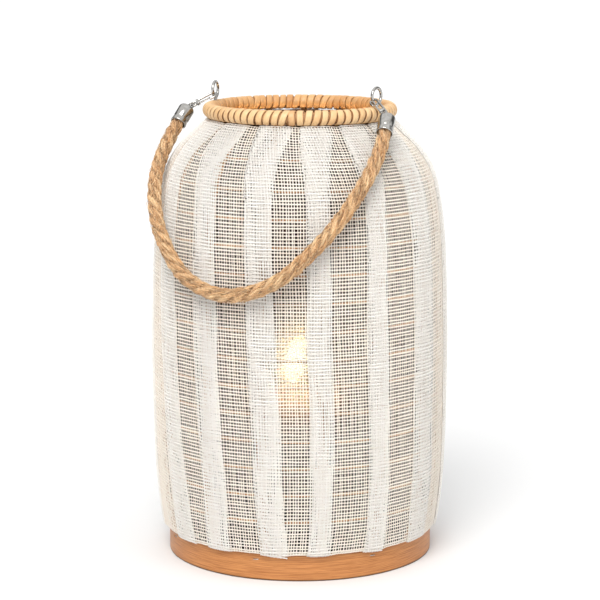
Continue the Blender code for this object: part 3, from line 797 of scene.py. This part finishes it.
def laid_rope(path, jute):
    """The rope of the handle, as one piece."""
    rng = np.random.default_rng(11)
    frames = carried_frames(path)
    shells, *details = zip(yarns(path, frames, rng), fuzz(path, frames, rng))
    tone, along, around = (np.concatenate(values) for values in details)
    return add_piece("laid_rope", joined(shells), jute, "handle", "jute", "rope_handle", tone=tone,
                     along=along, around=around)


# ---------------------------------------------------------------- cover
def wall_outline(count, outline):
    """Evenly spaced stations on a smooth outline: radius, height and outward normal."""
    curve = spline([(r, z) for z, r in outline], count)
    slope = unit(np.gradient(curve, axis=0))
    return curve[:, 0], curve[:, 1], slope[:, 1], -slope[:, 0]


def wall_at(depth, low, high, count):
    """The cover's outline moved inwards by depth, as evenly spaced (radius, height) points."""
    radius, height, out_r, out_z = wall_outline(400, WALL)
    moved = np.stack([radius - depth * out_r, height - depth * out_z], axis=1)
    kept = moved[(moved[:, 1] >= low) & (moved[:, 1] <= high)]
    return spline(kept[:: max(len(kept) // 60, 1)], count)


# how far each pleat's fold edge stands from its even spacing, in degrees, at these heights
SLANT_HEIGHTS = [0.024, 0.045, 0.080, 0.120, 0.160, 0.205, 0.250, 0.290, 0.310, 0.330, 0.345, 0.357, 0.366]
SLANTS = {
    0: [-0.9, -0.5, -0.3, -0.4, -0.5, -1.0, -1.4, -1.7, -1.8, -2.3, -3.0, -3.4, -3.7],
    1: [-1.3, -0.8, -0.8, -1.2, -1.7, -2.2, -2.0, -1.8, -1.6, -2.9, -4.0, -3.9, -3.5],
    2: [-2.0, -3.1, -2.8, -3.0, -2.9, -3.1, -3.3, -3.6, -4.0, -4.8, -5.4, -5.6, -5.6],
    3: [2.6, 2.3, 1.2, 0.2, -0.5, -1.4, -0.8, 0.4, 0.6, 0.2, -0.6, -1.2, -1.6],
    12: [7.3, 6.9, 6.1, 4.4, 2.4, 0.8, -0.8, -2.2, -3.2, -4.6, -6.0, -7.2, -7.8],
    13: [3.9, 4.0, 3.5, 2.2, 1.1, 0.4, -0.8, -1.8, -2.8, -4.6, -6.6, -7.8, -8.4],
    14: [3.8, 3.3, 2.4, 1.6, 0.6, -0.2, -1.0, -1.9, -2.5, -3.5, -4.2, -5.5, -5.5],
}
USUAL_SLANT = [1.2, 1.2, 1.0, 0.5, 0.0, -0.5, -1.0, -1.6, -2.1, -3.0, -3.9, -4.6, -4.8]
OVERLAPS = {0: 8.8, 1: 8.9, 2: 12.6, 12: 11.0, 13: 10.2, 14: 10.6}     # degrees, where they aren't usual
OVERLAP_GROWTH = ([0.300, 0.320, 0.332, 0.342, 0.350, 0.358, 0.366], [0.0, 0.9, 1.8, 3.0, 4.8, 7.0, 8.6])

WARPS = 42                      # in one pleat, from one hidden fold to the next
LAST_SEEN = 32                  # the warp at which the cloth goes under the next fold edge
WARP_PITCH = 0.00236
WEFT_PITCH = 0.00276
WEFT_HALF = (0.54 * MM, 0.32 * MM)      # half the width and half the thickness of a thread
WARP_HALF = (0.42 * MM, 0.30 * MM)
THREAD_SIDES = 4


def fold_edges(height, rng):
    """Angle of every fold edge and width of its hidden layers at every row, in degrees."""
    rows = len(height)
    growth = np.interp(height, *OVERLAP_GROWTH)
    edges, overlaps = [], []
    for pleat in range(PLEATS):
        slant = np.interp(height, SLANT_HEIGHTS, SLANTS.get(pleat, USUAL_SLANT))
        if pleat not in SLANTS:
            slant = slant + waves(rng, (1, rows), 260, 0.8)[0]
        edges.append(FIRST_FOLD + FOLD_STEP * pleat + slant + waves(rng, (1, rows), 60, 0.13)[0])
        overlaps.append(OVERLAPS.get(pleat, OVERLAP) + growth + waves(rng, (1, rows), 45, 0.25)[0])
    return np.array(edges), np.array(overlaps)


def pleat_threads(pleat, edges, overlaps, outline, rng):
    """The warp and weft threads of one pleat: a shell, its attributes, and its width and length."""
    radius, height, out_r, out_z = outline
    rows = len(radius)
    columns = WARPS + 1
    grid = (rows, columns)
    column = np.arange(columns)[None, :]
    after = (pleat + 1) % PLEATS
    fold = edges[pleat][:, None]
    under = overlaps[pleat][:, None]
    following = edges[after][:, None] + (FOLD_STEP * PLEATS if after == 0 else 0)
    pitch = np.degrees(WARP_PITCH / radius)[:, None]
    folded_at = LAST_SEEN - (following - fold) / pitch
    beyond = column - folded_at
    beyond = np.where(np.abs(beyond) <= 0.5, 0.0, beyond)
    middle = beyond < 0
    lowest = column > LAST_SEEN
    share = np.clip(-beyond / folded_at, 0, 1)
    lower_share = (column - LAST_SEEN) / (WARPS - LAST_SEEN)

    sideways = waves(rng, (columns, rows), 40, 0.35).T[:, :1] + rng.uniform(-0.5, 0.5)
    inside = (share > 0.02) & (share < 0.98)
    back = fold + under * share + np.where(inside, sideways * pitch, 0.0)
    band = following - (LAST_SEEN - column) * pitch
    below = following + overlaps[after][:, None] * lower_share
    angle = np.where(middle, back, np.where(lowest, below, np.where(beyond == 0, fold, band)))
    angle = np.radians(angle)
    into = (np.degrees(angle) - fold) / under
    depth = np.where(middle, np.interp(share, [0, 0.15, 0.9, 1], [1.15, 1.5, 1.7, 1.95]),
                     np.interp(into, [0, 0.08, 0.3, 0.8, 1.02, 1.2, 1.4, 2.0],
                               [0.9, 0.50, 0.42, 0.55, 1.0, 1.7, 2.0, 2.1]))
    depth = np.where(lowest, 2.2 + 0.1 * lower_share, depth) * MM
    depth = depth + waves(rng, (columns, rows), 50, 0.06 * MM).T
    lean = np.where(middle, 180.0, 0.0)
    lean = np.radians(np.where((beyond == 0) | (column == 0) | (column == WARPS), 90.0, lean))

    weft_shift = waves(rng, grid, 30, 0.035) + waves(rng, grid, 9, 0.018)
    weft_shift += rng.normal(0, 0.035, (rows, 1))
    slipped = rng.uniform(-0.6, 0.6) + waves(rng, (1, rows), 60, 0.35).T
    weft_shift += np.where(middle, (1 - np.exp(beyond / 1.2)) * (slipped + 0.07 * beyond), 0.0)
    slipped = rng.uniform(-0.6, 0.6) + waves(rng, (1, rows), 60, 0.35).T
    past = np.clip(column - LAST_SEEN, 0, None)
    weft_shift += (1 - np.exp(-past / 1.2)) * (slipped + rng.uniform(-0.08, 0.08) * past)
    warp_shift = waves(rng, (columns, rows), 30, 0.07).T + rng.normal(0, 0.05, (1, columns))
    warp_shift *= np.radians(pitch)

    def spot(row_shift, column_shift, lift):
        """World points of every crossing, lifted off the cloth along its own normal."""
        turn = angle + column_shift
        out = np.cos(lean) * lift - depth
        side = -np.sin(lean) * lift
        r = radius[:, None] + np.gradient(radius)[:, None] * row_shift + out * out_r[:, None]
        z = height[:, None] + np.gradient(height)[:, None] * row_shift + out * out_z[:, None]
        return np.stack([r * np.cos(turn) - side * np.sin(turn), r * np.sin(turn) + side * np.cos(turn), z],
                        axis=-1)

    # the two thread directions and the cloth's own normal at every crossing
    around = np.stack([-np.sin(angle), np.cos(angle), np.zeros_like(angle)], axis=-1)
    out = about_z(out_r[:, None], angle, out_z[:, None])
    up = np.cross(out, around)
    along = swung(lean, around, out)
    normal = swung(lean, out, -around)

    over = 1.0 - 2.0 * ((np.arange(rows)[:, None] + column) % 2)
    weft = spot(weft_shift, 0.0, 0.10 * MM * over)
    slub = 1.0 + waves(rng, grid, 18, 0.07) + waves(rng, grid, 4, 0.05)
    slub = (slub * rng.normal(1.0, 0.07, (rows, 1))).clip(0.65, 1.4)
    weft_shell = strands(weft, up, normal, WEFT_HALF[0] * slub, WEFT_HALF[1] * np.sqrt(slub), THREAD_SIDES)
    weft_tone = np.clip(0.60 + rng.normal(0, 0.13, (rows, 1)) + waves(rng, grid, 20, 0.10), 0, 1)

    # the last warp is left to the next pleat, which starts on it
    def warpwise(values):
        return values[:, :-1].transpose(1, 0, 2)

    warp = warpwise(spot(0.0, warp_shift, (0.12 - 0.18 * over) * MM))
    warp_width = WARP_HALF[0] * (1.0 + waves(rng, (WARPS, rows), 12, 0.10))
    warp_shell = strands(warp, -warpwise(along), warpwise(normal), warp_width, WARP_HALF[1], THREAD_SIDES)
    warp_tone = np.clip(0.6 + rng.normal(0, 0.12, (WARPS, 1)) + waves(rng, (WARPS, rows), 25, 0.08), 0, 1)
    # single marks where the cloth lies in one layer; the cotton finish tints these threads with painted warm
    # light
    single = np.where(middle | lowest, 0.0, np.clip((into - 1.0) / 0.12, 0, 1))
    attributes = {"tone": np.concatenate([weft_tone.ravel(), warp_tone.ravel()]),
                  "single": np.concatenate([single.ravel(), single[:, :-1].T.ravel()])}
    attributes = {name: np.repeat(values, THREAD_SIDES) for name, values in attributes.items()}
    size = length_of(weft[rows // 2]), length_of(warp[columns // 2])
    return joined([weft_shell, warp_shell]), attributes, size


def cover(cotton):
    """The pleated cotton mesh, one sheet of real threads to each pleat."""
    rng = np.random.default_rng(7)
    outline = HEM + WALL + TUCK
    rows = round(length_of(spline([(r, z) for z, r in outline], 600)) / WEFT_PITCH)
    stations = wall_outline(rows, outline)
    edges, overlaps = fold_edges(stations[1], rng)
    for pleat in range(PLEATS):
        shell, attributes, (width, length) = pleat_threads(pleat, edges, overlaps, stations, rng)
        obj = add_piece(f"mesh_pleat_{pleat + 1:02d}", shell, cotton, "lantern", "cotton_mesh",
                        "fabric_cover", **attributes)


# ---------------------------------------------------------------- cage
def slats(bamboo, rng):
    """Bamboo strips from the hoop to the rim, one behind each pleat, each with a swollen node."""
    foot = HOOP_RADIUS - HOOP_THICKNESS - 0.00045 - SLAT_THICKNESS / 2
    outline = np.vstack([[(foot, 0.0010), (foot, HOOP_HEIGHT + 0.0003)],
                         wall_at(SLAT_DEPTH, 0.046, 0.355, 26),
                         [(RIM_RADIUS + 0.0014, 0.3618), (RIM_RADIUS, 0.3660), (RIM_RADIUS, 0.3693)]])
    steps = 76
    line = spline(outline, steps)
    slope = unit(np.gradient(line, axis=0))
    section = [(-1, -0.6), (-0.9, -1), (0.9, -1), (1, -0.6), (1, 0.5), (0.85, 0.9), (0, 1.0), (-0.85, 0.9),
               (-1, 0.5)]
    taper = 0.62 + 0.38 * np.clip((line[:, 0] - RIM_RADIUS) / (0.1 - RIM_RADIUS), 0, 1)
    for number in range(PLEATS):
        middle = FIRST_FOLD + FOLD_STEP * number + SLAT_OFFSET
        out = polar(1.0, middle, 0.0)
        along = polar(1.0, middle + 90, 0.0)
        half = SLAT_WIDTH / 2 * taper * (1 + waves(rng, (1, steps), 30, 0.03)[0])
        swelling = np.exp(-((np.arange(steps) - rng.uniform(12, 60)) / 1.1) ** 2) * 0.10
        thick = SLAT_THICKNESS / 2 * (1 + swelling)
        rings = [[out * (r + face * t * rise) + UP * (z - face * t * run) + along * side * h
                  for side, face in section]
                 for (r, z), (run, rise), t, h in zip(line, slope, thick, half)]
        add_piece(f"bamboo_strip_{number + 1:02d}", section_sweep(rings), bamboo, "lantern", "bamboo",
                  f"cage_slat_{number + 1:02d}", smooth=False)


def rings(bamboo, rng):
    """Thin rattan hoops inside the slats, none of them quite round or level."""
    inner = wall_at(RING_DEPTH, 0.030, 0.362, 300)
    turns = turns_of(144)
    for number in range(RINGS):
        height = FIRST_RING + RING_PITCH * number
        radius = float(np.interp(height, inner[:, 1], inner[:, 0]))
        sway = 0.0003 * np.sin(turns * 2 + rng.uniform(0, 6)) + 0.0002 * np.sin(turns * 5 + rng.uniform(0, 6))
        level = height + 0.0004 * np.sin(turns * 3 + rng.uniform(0, 6))
        loop = about_z(radius - 0.0004 + sway, turns, level)
        add_piece(f"rattan_ring_{number + 1:02d}", round_wire(loop, RING_WIRE - 0.0001, 10, looped=True),
                  bamboo, "lantern", "bamboo", f"cage_ring_{number + 1:02d}")


def shade_lining(gauze):
    """Painted shade: a dark tube of sheer sheet inside the hoops, from the base plate to the rim, that
    darkens what is seen through the mesh.
    """
    outside = np.vstack([[(SHADE_LINING_FOOT_RADIUS, PLATE_HEIGHT + 0.0006), (SHADE_LINING_FOOT_RADIUS, SHADE_LINING_FOOT_TOP)],
                         wall_at(SHADE_LINING_DEPTH + 0.0004, 0.045, 0.355, 44),
                         [(RIM_RADIUS - 0.0030, 0.3640), (RIM_RADIUS - 0.0040, 0.3676)]])
    outside = spline(outside, 60)
    slope = unit(np.gradient(outside, axis=0))
    inside = outside - 0.0003 * np.stack([slope[:, 1], -slope[:, 0]], axis=1)
    steps = 180
    wobble = 0.0003 * np.cos(PLEATS * turns_of(steps))[:, None]
    shell = turned_shell(np.vstack([outside[::-1], inside]), steps, wobble)
    obj = add_piece("shade_gauze_lining", shell, gauze, "lantern", "gauze", "cage_lining")


# ---------------------------------------------------------------- rim
def cane_rim(cane, bamboo):
    """The cane strip wound round the rim's core, turn beside turn."""
    rng = np.random.default_rng(31)
    turns, steps = 74, 26
    t = np.arange(turns * steps) / steps
    around = FULL_TURN * (t % 1.0) - np.pi / 2
    turn = np.minimum(t.astype(int), turns - 1)
    slant = rng.normal(0, 0.10, turns)[turn] * np.sin(around) * (FULL_TURN / turns)
    along_rim = FULL_TURN * t / turns + math.radians(100) + slant
    half_strip = ((2.74 + rng.normal(0, 0.12, turns).clip(-0.24, 0.14)) * MM)[turn]
    sunk = np.interp(t, np.arange(turns) + 0.5, rng.uniform(0.0, 0.00035, turns))
    tones = np.clip(rng.normal(0.55, 0.2, turns), 0, 1)
    profile = np.array([(-1.0, 0.20), (-0.97, 0.62), (-0.86, 0.87), (-0.5, 0.98), (0.0, 1.0), (0.5, 0.98),
                        (0.86, 0.87), (0.97, 0.62), (1.0, 0.20), (0.9, 0.0), (-0.9, 0.0)])
    thick = RIM_TUBE - CORE_TUBE - 0.0005
    tube = RIM_TUBE - thick - sunk[:, None] + profile[:, 1] * thick
    r = RIM_RADIUS + tube * np.cos(around)[:, None]
    rim_angle = along_rim[:, None] + profile[:, 0] * half_strip[:, None] / r
    sections = about_z(r, rim_angle, RIM_HEIGHT + tube * np.sin(around)[:, None])
    each = {"tone": tones[turn], "along": t * FULL_TURN * RIM_TUBE,
            # inner and outer are masks for painted shade in the cane finish: inner on the side facing the
            # lantern's axis, outer on the lower outside
            "inner": np.clip(0.2 - np.cos(around) * 1.4, 0, 1),
            "outer": np.clip(np.cos(around + 0.4) * 1.5, 0, 1)}
    each = {name: np.repeat(values, len(profile)) for name, values in each.items()}
    add_piece("cane_wrap", section_sweep(sections), cane, "lantern", "cane", "rim_wrap",
              across=np.tile(profile[:, 0], len(t)), **each)

    rod = round_wire(about_z(RIM_RADIUS, turns_of(160), RIM_HEIGHT), CORE_TUBE, 24, looped=True)
    add_piece("rim_rod", rod, bamboo, "lantern", "bamboo", "rim_core")


# ---------------------------------------------------------------- base
def hoop_angles(staples):
    """Where the hoop's sections stand: evenly, closer at each staple, and none in the slit at the back."""
    slit = HOOP_SLIT / HOOP_RADIUS
    spread = np.radians(np.linspace(-3.2, 3.2, 33))
    angles = np.concatenate([turns_of(220)] + [a + spread for a in staples])
    seam = np.pi / 2
    angles = np.unique(np.round((angles - seam) % FULL_TURN, 6))
    angles = angles[(angles > slit) & (angles < FULL_TURN - slit)]
    return seam + np.concatenate([[slit / 2], angles, [FULL_TURN - slit / 2]])


def bent_hoop(wood, staples):
    """The bent wood strip round the foot, with a butt seam and a dent at each staple."""
    inner = HOOP_RADIUS - HOOP_THICKNESS
    heights = np.concatenate([np.linspace(0.0012, 0.0140, 9), np.arange(0.0146, 0.0194, 0.0003),
                              [0.0200, 0.0207]])
    corner = 0.0009
    outline = [(inner + 0.0003, 0.0), (HOOP_RADIUS - corner, 0.0), (HOOP_RADIUS - 0.0004, 0.0001),
               (HOOP_RADIUS - 0.0001, 0.0005)]
    outline += [(HOOP_RADIUS, z) for z in heights]
    outline += [(HOOP_RADIUS - 0.0001, HOOP_HEIGHT - 0.0008), (HOOP_RADIUS - 0.0004, HOOP_HEIGHT - 0.0002),
                (HOOP_RADIUS - corner, HOOP_HEIGHT), (inner + 0.0003, HOOP_HEIGHT),
                (inner, HOOP_HEIGHT - 0.0003), (inner, 0.0003)]
    outline = np.array(outline)
    outer_face = outline[:, 0] >= HOOP_RADIUS - 0.00005
    sections = []
    for angle in hoop_angles(staples):
        off = np.abs((angle - staples + np.pi) % FULL_TURN - np.pi).min() * HOOP_RADIUS
        radius = outline[:, 0] + 0.00012 * math.sin(3 * angle + 1.0) + 0.00008 * math.sin(7 * angle)
        dent = np.exp(-((off / 0.0036) ** 4 + ((outline[:, 1] - STAPLE_HEIGHT) / 0.00125) ** 4))
        radius = radius - np.where(outer_face, 0.0008 * dent, 0.0)
        sections.append(about_z(radius, angle, outline[:, 1]))
    add_piece("bent_hoop", section_sweep(sections), wood, "lantern", "bent_wood", "base_hoop", sharp_from=50)


def hoop_staples(metal, staples):
    """The staples: a flat crown in the dent and two legs into the wood."""
    rng = np.random.default_rng(5)
    half = STAPLE_WIDTH / 2 - 0.0005
    leg = [(half - 0.0016, 0.00015), (half - 0.0006, 0.0), (half - 0.0001, -0.0004), (half, -0.0012),
           (half, -STAPLE_LEG + 0.0008)]
    path = [(-a, b) for a, b in leg[::-1]] + leg
    for number, angle in enumerate(np.degrees(staples)):
        out = polar(1.0, angle, 0.0)
        side = polar(1.0, angle + 90, 0.0)
        centre = polar(HOOP_RADIUS - 0.00075, angle + rng.normal(0, 0.1), STAPLE_HEIGHT)
        line = spline([centre + a * side + b * out for a, b in path], 60)
        add_piece(f"hoop_staple_wire_{number + 1}", round_wire(line, 0.00052, 10), metal, "lantern", "metal",
                  f"hoop_staple_{number + 1}")


def floor_plate(ply):
    """The round plywood plate inside the hoop, with eased edges."""
    edge = 0.0008
    under = [(0.0006, 0.0), (0.050, 0.0), (PLATE_RADIUS - edge, 0.0), (PLATE_RADIUS - 0.0002, 0.0002),
             (PLATE_RADIUS, edge)]
    outline = under + [(r, PLATE_HEIGHT - z) for r, z in under[::-1]]
    plate = turned_shell(outline, 180)
    add_piece("floor_plate", plate, ply, "lantern", "plywood", "base_plate", sharp_from=40)


# ---------------------------------------------------------------- glass and candle
def glass_chimney(glass):
    """The open glass cylinder that stands on the base plate."""
    inner = GLASS_RADIUS - GLASS_WALL
    outline = [(inner + 0.0004, STANDING), (GLASS_RADIUS - 0.0008, STANDING),
               (GLASS_RADIUS - 0.0002, STANDING + 0.0002), (GLASS_RADIUS, STANDING + 0.0008)]
    outline += [(GLASS_RADIUS, z) for z in np.linspace(0.03, 0.34, 8)]
    outline += [(GLASS_RADIUS - GLASS_WALL / 2 + r, z) for r, z in
                arc((0.0, GLASS_TOP - 0.0015), 0.0015, 0, 180, 8)]
    outline += [(inner, z) for z in np.linspace(0.34, 0.03, 8)]
    outline += [(inner, STANDING + 0.0006)]
    add_piece("glass_chimney", turned_shell(outline, 160), glass, "glass", "glass", "glass_cylinder")


def pillar_candle(wax):
    """The candle, with an uneven lip round its molten top."""
    steps = 120
    angles = turns_of(steps)
    r = CANDLE_RADIUS
    outline = [(0.0015, STANDING), (0.020, STANDING), (r - 0.0020, STANDING), (r - 0.0006, STANDING + 0.0006),
               (r, STANDING + 0.0020)]
    outline += [(r - 0.0001, z) for z in np.linspace(0.03, 0.120, 7)]
    outline += [(r - 0.0002, 0.1300), (r - 0.0010, 0.1325), (r - 0.0026, 0.1334), (r - 0.0046, 0.1326),
                (r - 0.0075, 0.1306), (0.0220, 0.1293), (0.0120, 0.1287), (0.0050, 0.1288),
                (0.0026, 0.1292), (0.0015, 0.1296), (0.0014, 0.1250)]
    outline = np.array(outline)
    lip = 0.0010 * np.sin(2 * angles + 0.6) + 0.0006 * np.sin(5 * angles + 2.0)
    lift = lip[:, None] * (outline[:, 1] > 0.1304)
    wobble = 0.0002 * np.sin(3 * angles)[:, None] * (outline[:, 0] > 0.03)
    add_piece("pillar_candle", turned_shell(outline, steps, wobble, lift), wax, "candle", "wax", "candle")


def wick_and_flame(wick, flame):
    """The curled wick and the flame that leans the other way."""
    steps = 70
    line = spline([(0.0, 0.0, 0.1255), (0.0, 0.0, 0.1330), (-0.0010, -0.0005, 0.1390),
                   (-0.0026, -0.0013, 0.1430), (-0.0044, -0.0022, WICK_TOP - 0.0006)], steps)
    braid = 0.00095 * (1 + 0.10 * np.sin(np.arange(steps) * 1.3)) * np.linspace(1.0, 0.72, steps)
    braid[-3:] *= (0.9, 0.75, 0.45)
    add_piece("braided_wick", round_wire(line, braid[None], 12), wick, "candle", "wick", "wick")

    share = np.linspace(0.0, 1.0, 48)
    sweep = np.interp(share, [0, 0.35, 1.0], [-0.0064, -0.0052, 0.0018])
    line = np.stack([0.90 * sweep, 0.435 * sweep, 0.1415 + 0.0480 * share], axis=1)
    body = 0.0080 * np.clip(np.sin(np.pi * share ** 0.62), 0.0, 1) ** 0.85 + 0.0002
    add_piece("flame", round_wire(line, body[None], 28), flame, "candle", "wick")


# ---------------------------------------------------------------- studio
PANELS = [                      # direction, where the soft edge starts and ends (cosines), strength
    ((0.30, -0.94, 0.10), 0.55, 0.85, 1.10),
    ((0.98, -0.10, 0.10), 0.68, 0.90, 1.00),
    ((-0.95, -0.25, 0.10), 0.84, 0.94, 0.04),
    ((-0.20, 0.97, 0.15), 0.60, 0.90, 0.60),
    ((0.0, 0.0, 1.0), 0.40, 0.75, 1.05),
]
ROOM_LIGHT = 0.13
FLOOR_REACH = 40.0
CAMERA_PLACE = (0.8209, -1.6979, 0.5486)
CAMERA_HEADING = math.radians(25.8)
CAMERA_DIP = 0.1762             # radians below level
LENS = 135.96


def in_scene(name, data):
    obj = bpy.data.objects.new(name, data)
    bpy.context.scene.collection.objects.link(obj)
    return obj


def camera():
    data = bpy.data.cameras.new("camera")
    data.sensor_width = 36.0
    data.lens = LENS
    obj = in_scene("camera", data)
    obj.location = CAMERA_PLACE
    obj.rotation_euler = (math.pi / 2 - CAMERA_DIP, 0.0, CAMERA_HEADING)
    bpy.context.scene.camera = obj


def floor():
    """A large pale floor of plain paper."""
    corners = [(x * FLOOR_REACH, y * FLOOR_REACH, 0) for x, y in ((-1, -1), (1, -1), (1, 1), (-1, 1))]
    mesh = bpy.data.meshes.new("studio_floor")
    mesh.from_pydata(corners, [], [(0, 1, 2, 3)])
    paper = Finish("studio_paper", 0.9, Specular_IOR_Level=0.1, Base_Color=(0.84, 0.845, 0.85, 1.0))
    mesh.materials.append(paper.material)
    in_scene("studio_floor", mesh)


def soft_light():
    """A dim room with large soft panels; the camera itself sees white all round."""
    world = bpy.data.worlds.new("studio")
    world.use_nodes = True
    sky = Nodes(world.node_tree)
    light = ROOM_LIGHT
    for toward, low, high, strength in PANELS:
        facing = sky.node("VectorMath", {0: sky.node("TexCoord", {}, "Generated"), 1: toward}, "Value",
                          operation="DOT_PRODUCT")
        panel = sky.node("MapRange", {"Value": facing, "From Min": low, "From Max": high, "To Max": strength},
                         interpolation_type="SMOOTHSTEP")
        light = sky.maths("MAXIMUM", panel, light)
    seen = sky.maths("MAXIMUM", sky.node("LightPath", {}, "Is Camera Ray"), light)
    background = world.node_tree.nodes["Background"]
    sky.feed(background.inputs["Color"], (1.0, 1.0, 1.0))
    sky.feed(background.inputs["Strength"], seen)
    bpy.context.scene.world = world


def lamps():
    """The key light from the front and above, and the candle's own light."""
    key = bpy.data.lights.new("key_light", "SUN")
    key.energy = 2.1
    key.angle = math.radians(34)
    key.color = (1.0, 0.985, 0.96)
    in_scene("key_light", key).rotation_euler = Vector((0.22, -0.97, 1.0)).to_track_quat("Z", "Y").to_euler()

    spark = bpy.data.lights.new("candle_light", "POINT")
    spark.energy = 0.35
    spark.shadow_soft_size = 0.006
    spark.color = (1.0, 0.62, 0.28)
    in_scene("candle_light", spark).location = (-0.003, -0.0015, 0.172)


# ---------------------------------------------------------------- everything
bpy.context.scene.view_settings.view_transform = "Standard"
camera()
floor()
soft_light()
lamps()

jute = jute_finish()
path = rope_path()
rope = laid_rope(path, jute)
right = Side(1, "right")

metal = metal_finish()
for side in (Side(-1, "left"), right):
    for make in (screw_eye, snap_hook, snap_gate, split_ring, rope_ferrule):
        make(side, metal)

bamboo = bamboo_finish()
cover(cotton_finish())
cage_rng = np.random.default_rng(23)
slats(bamboo, cage_rng)
rings(bamboo, cage_rng)
shade_lining(shade_gauze_finish())
cane_rim(cane_finish(), bamboo)
staple_angles = np.radians(FIRST_STAPLE + 360.0 / STAPLES * np.arange(STAPLES))
bent_hoop(hoop_finish(), staple_angles)
hoop_staples(metal, staple_angles)
floor_plate(ply_finish())
glass_chimney(glass_finish())
pillar_candle(wax_finish())
wick_and_flame(wick_finish(), flame_finish())
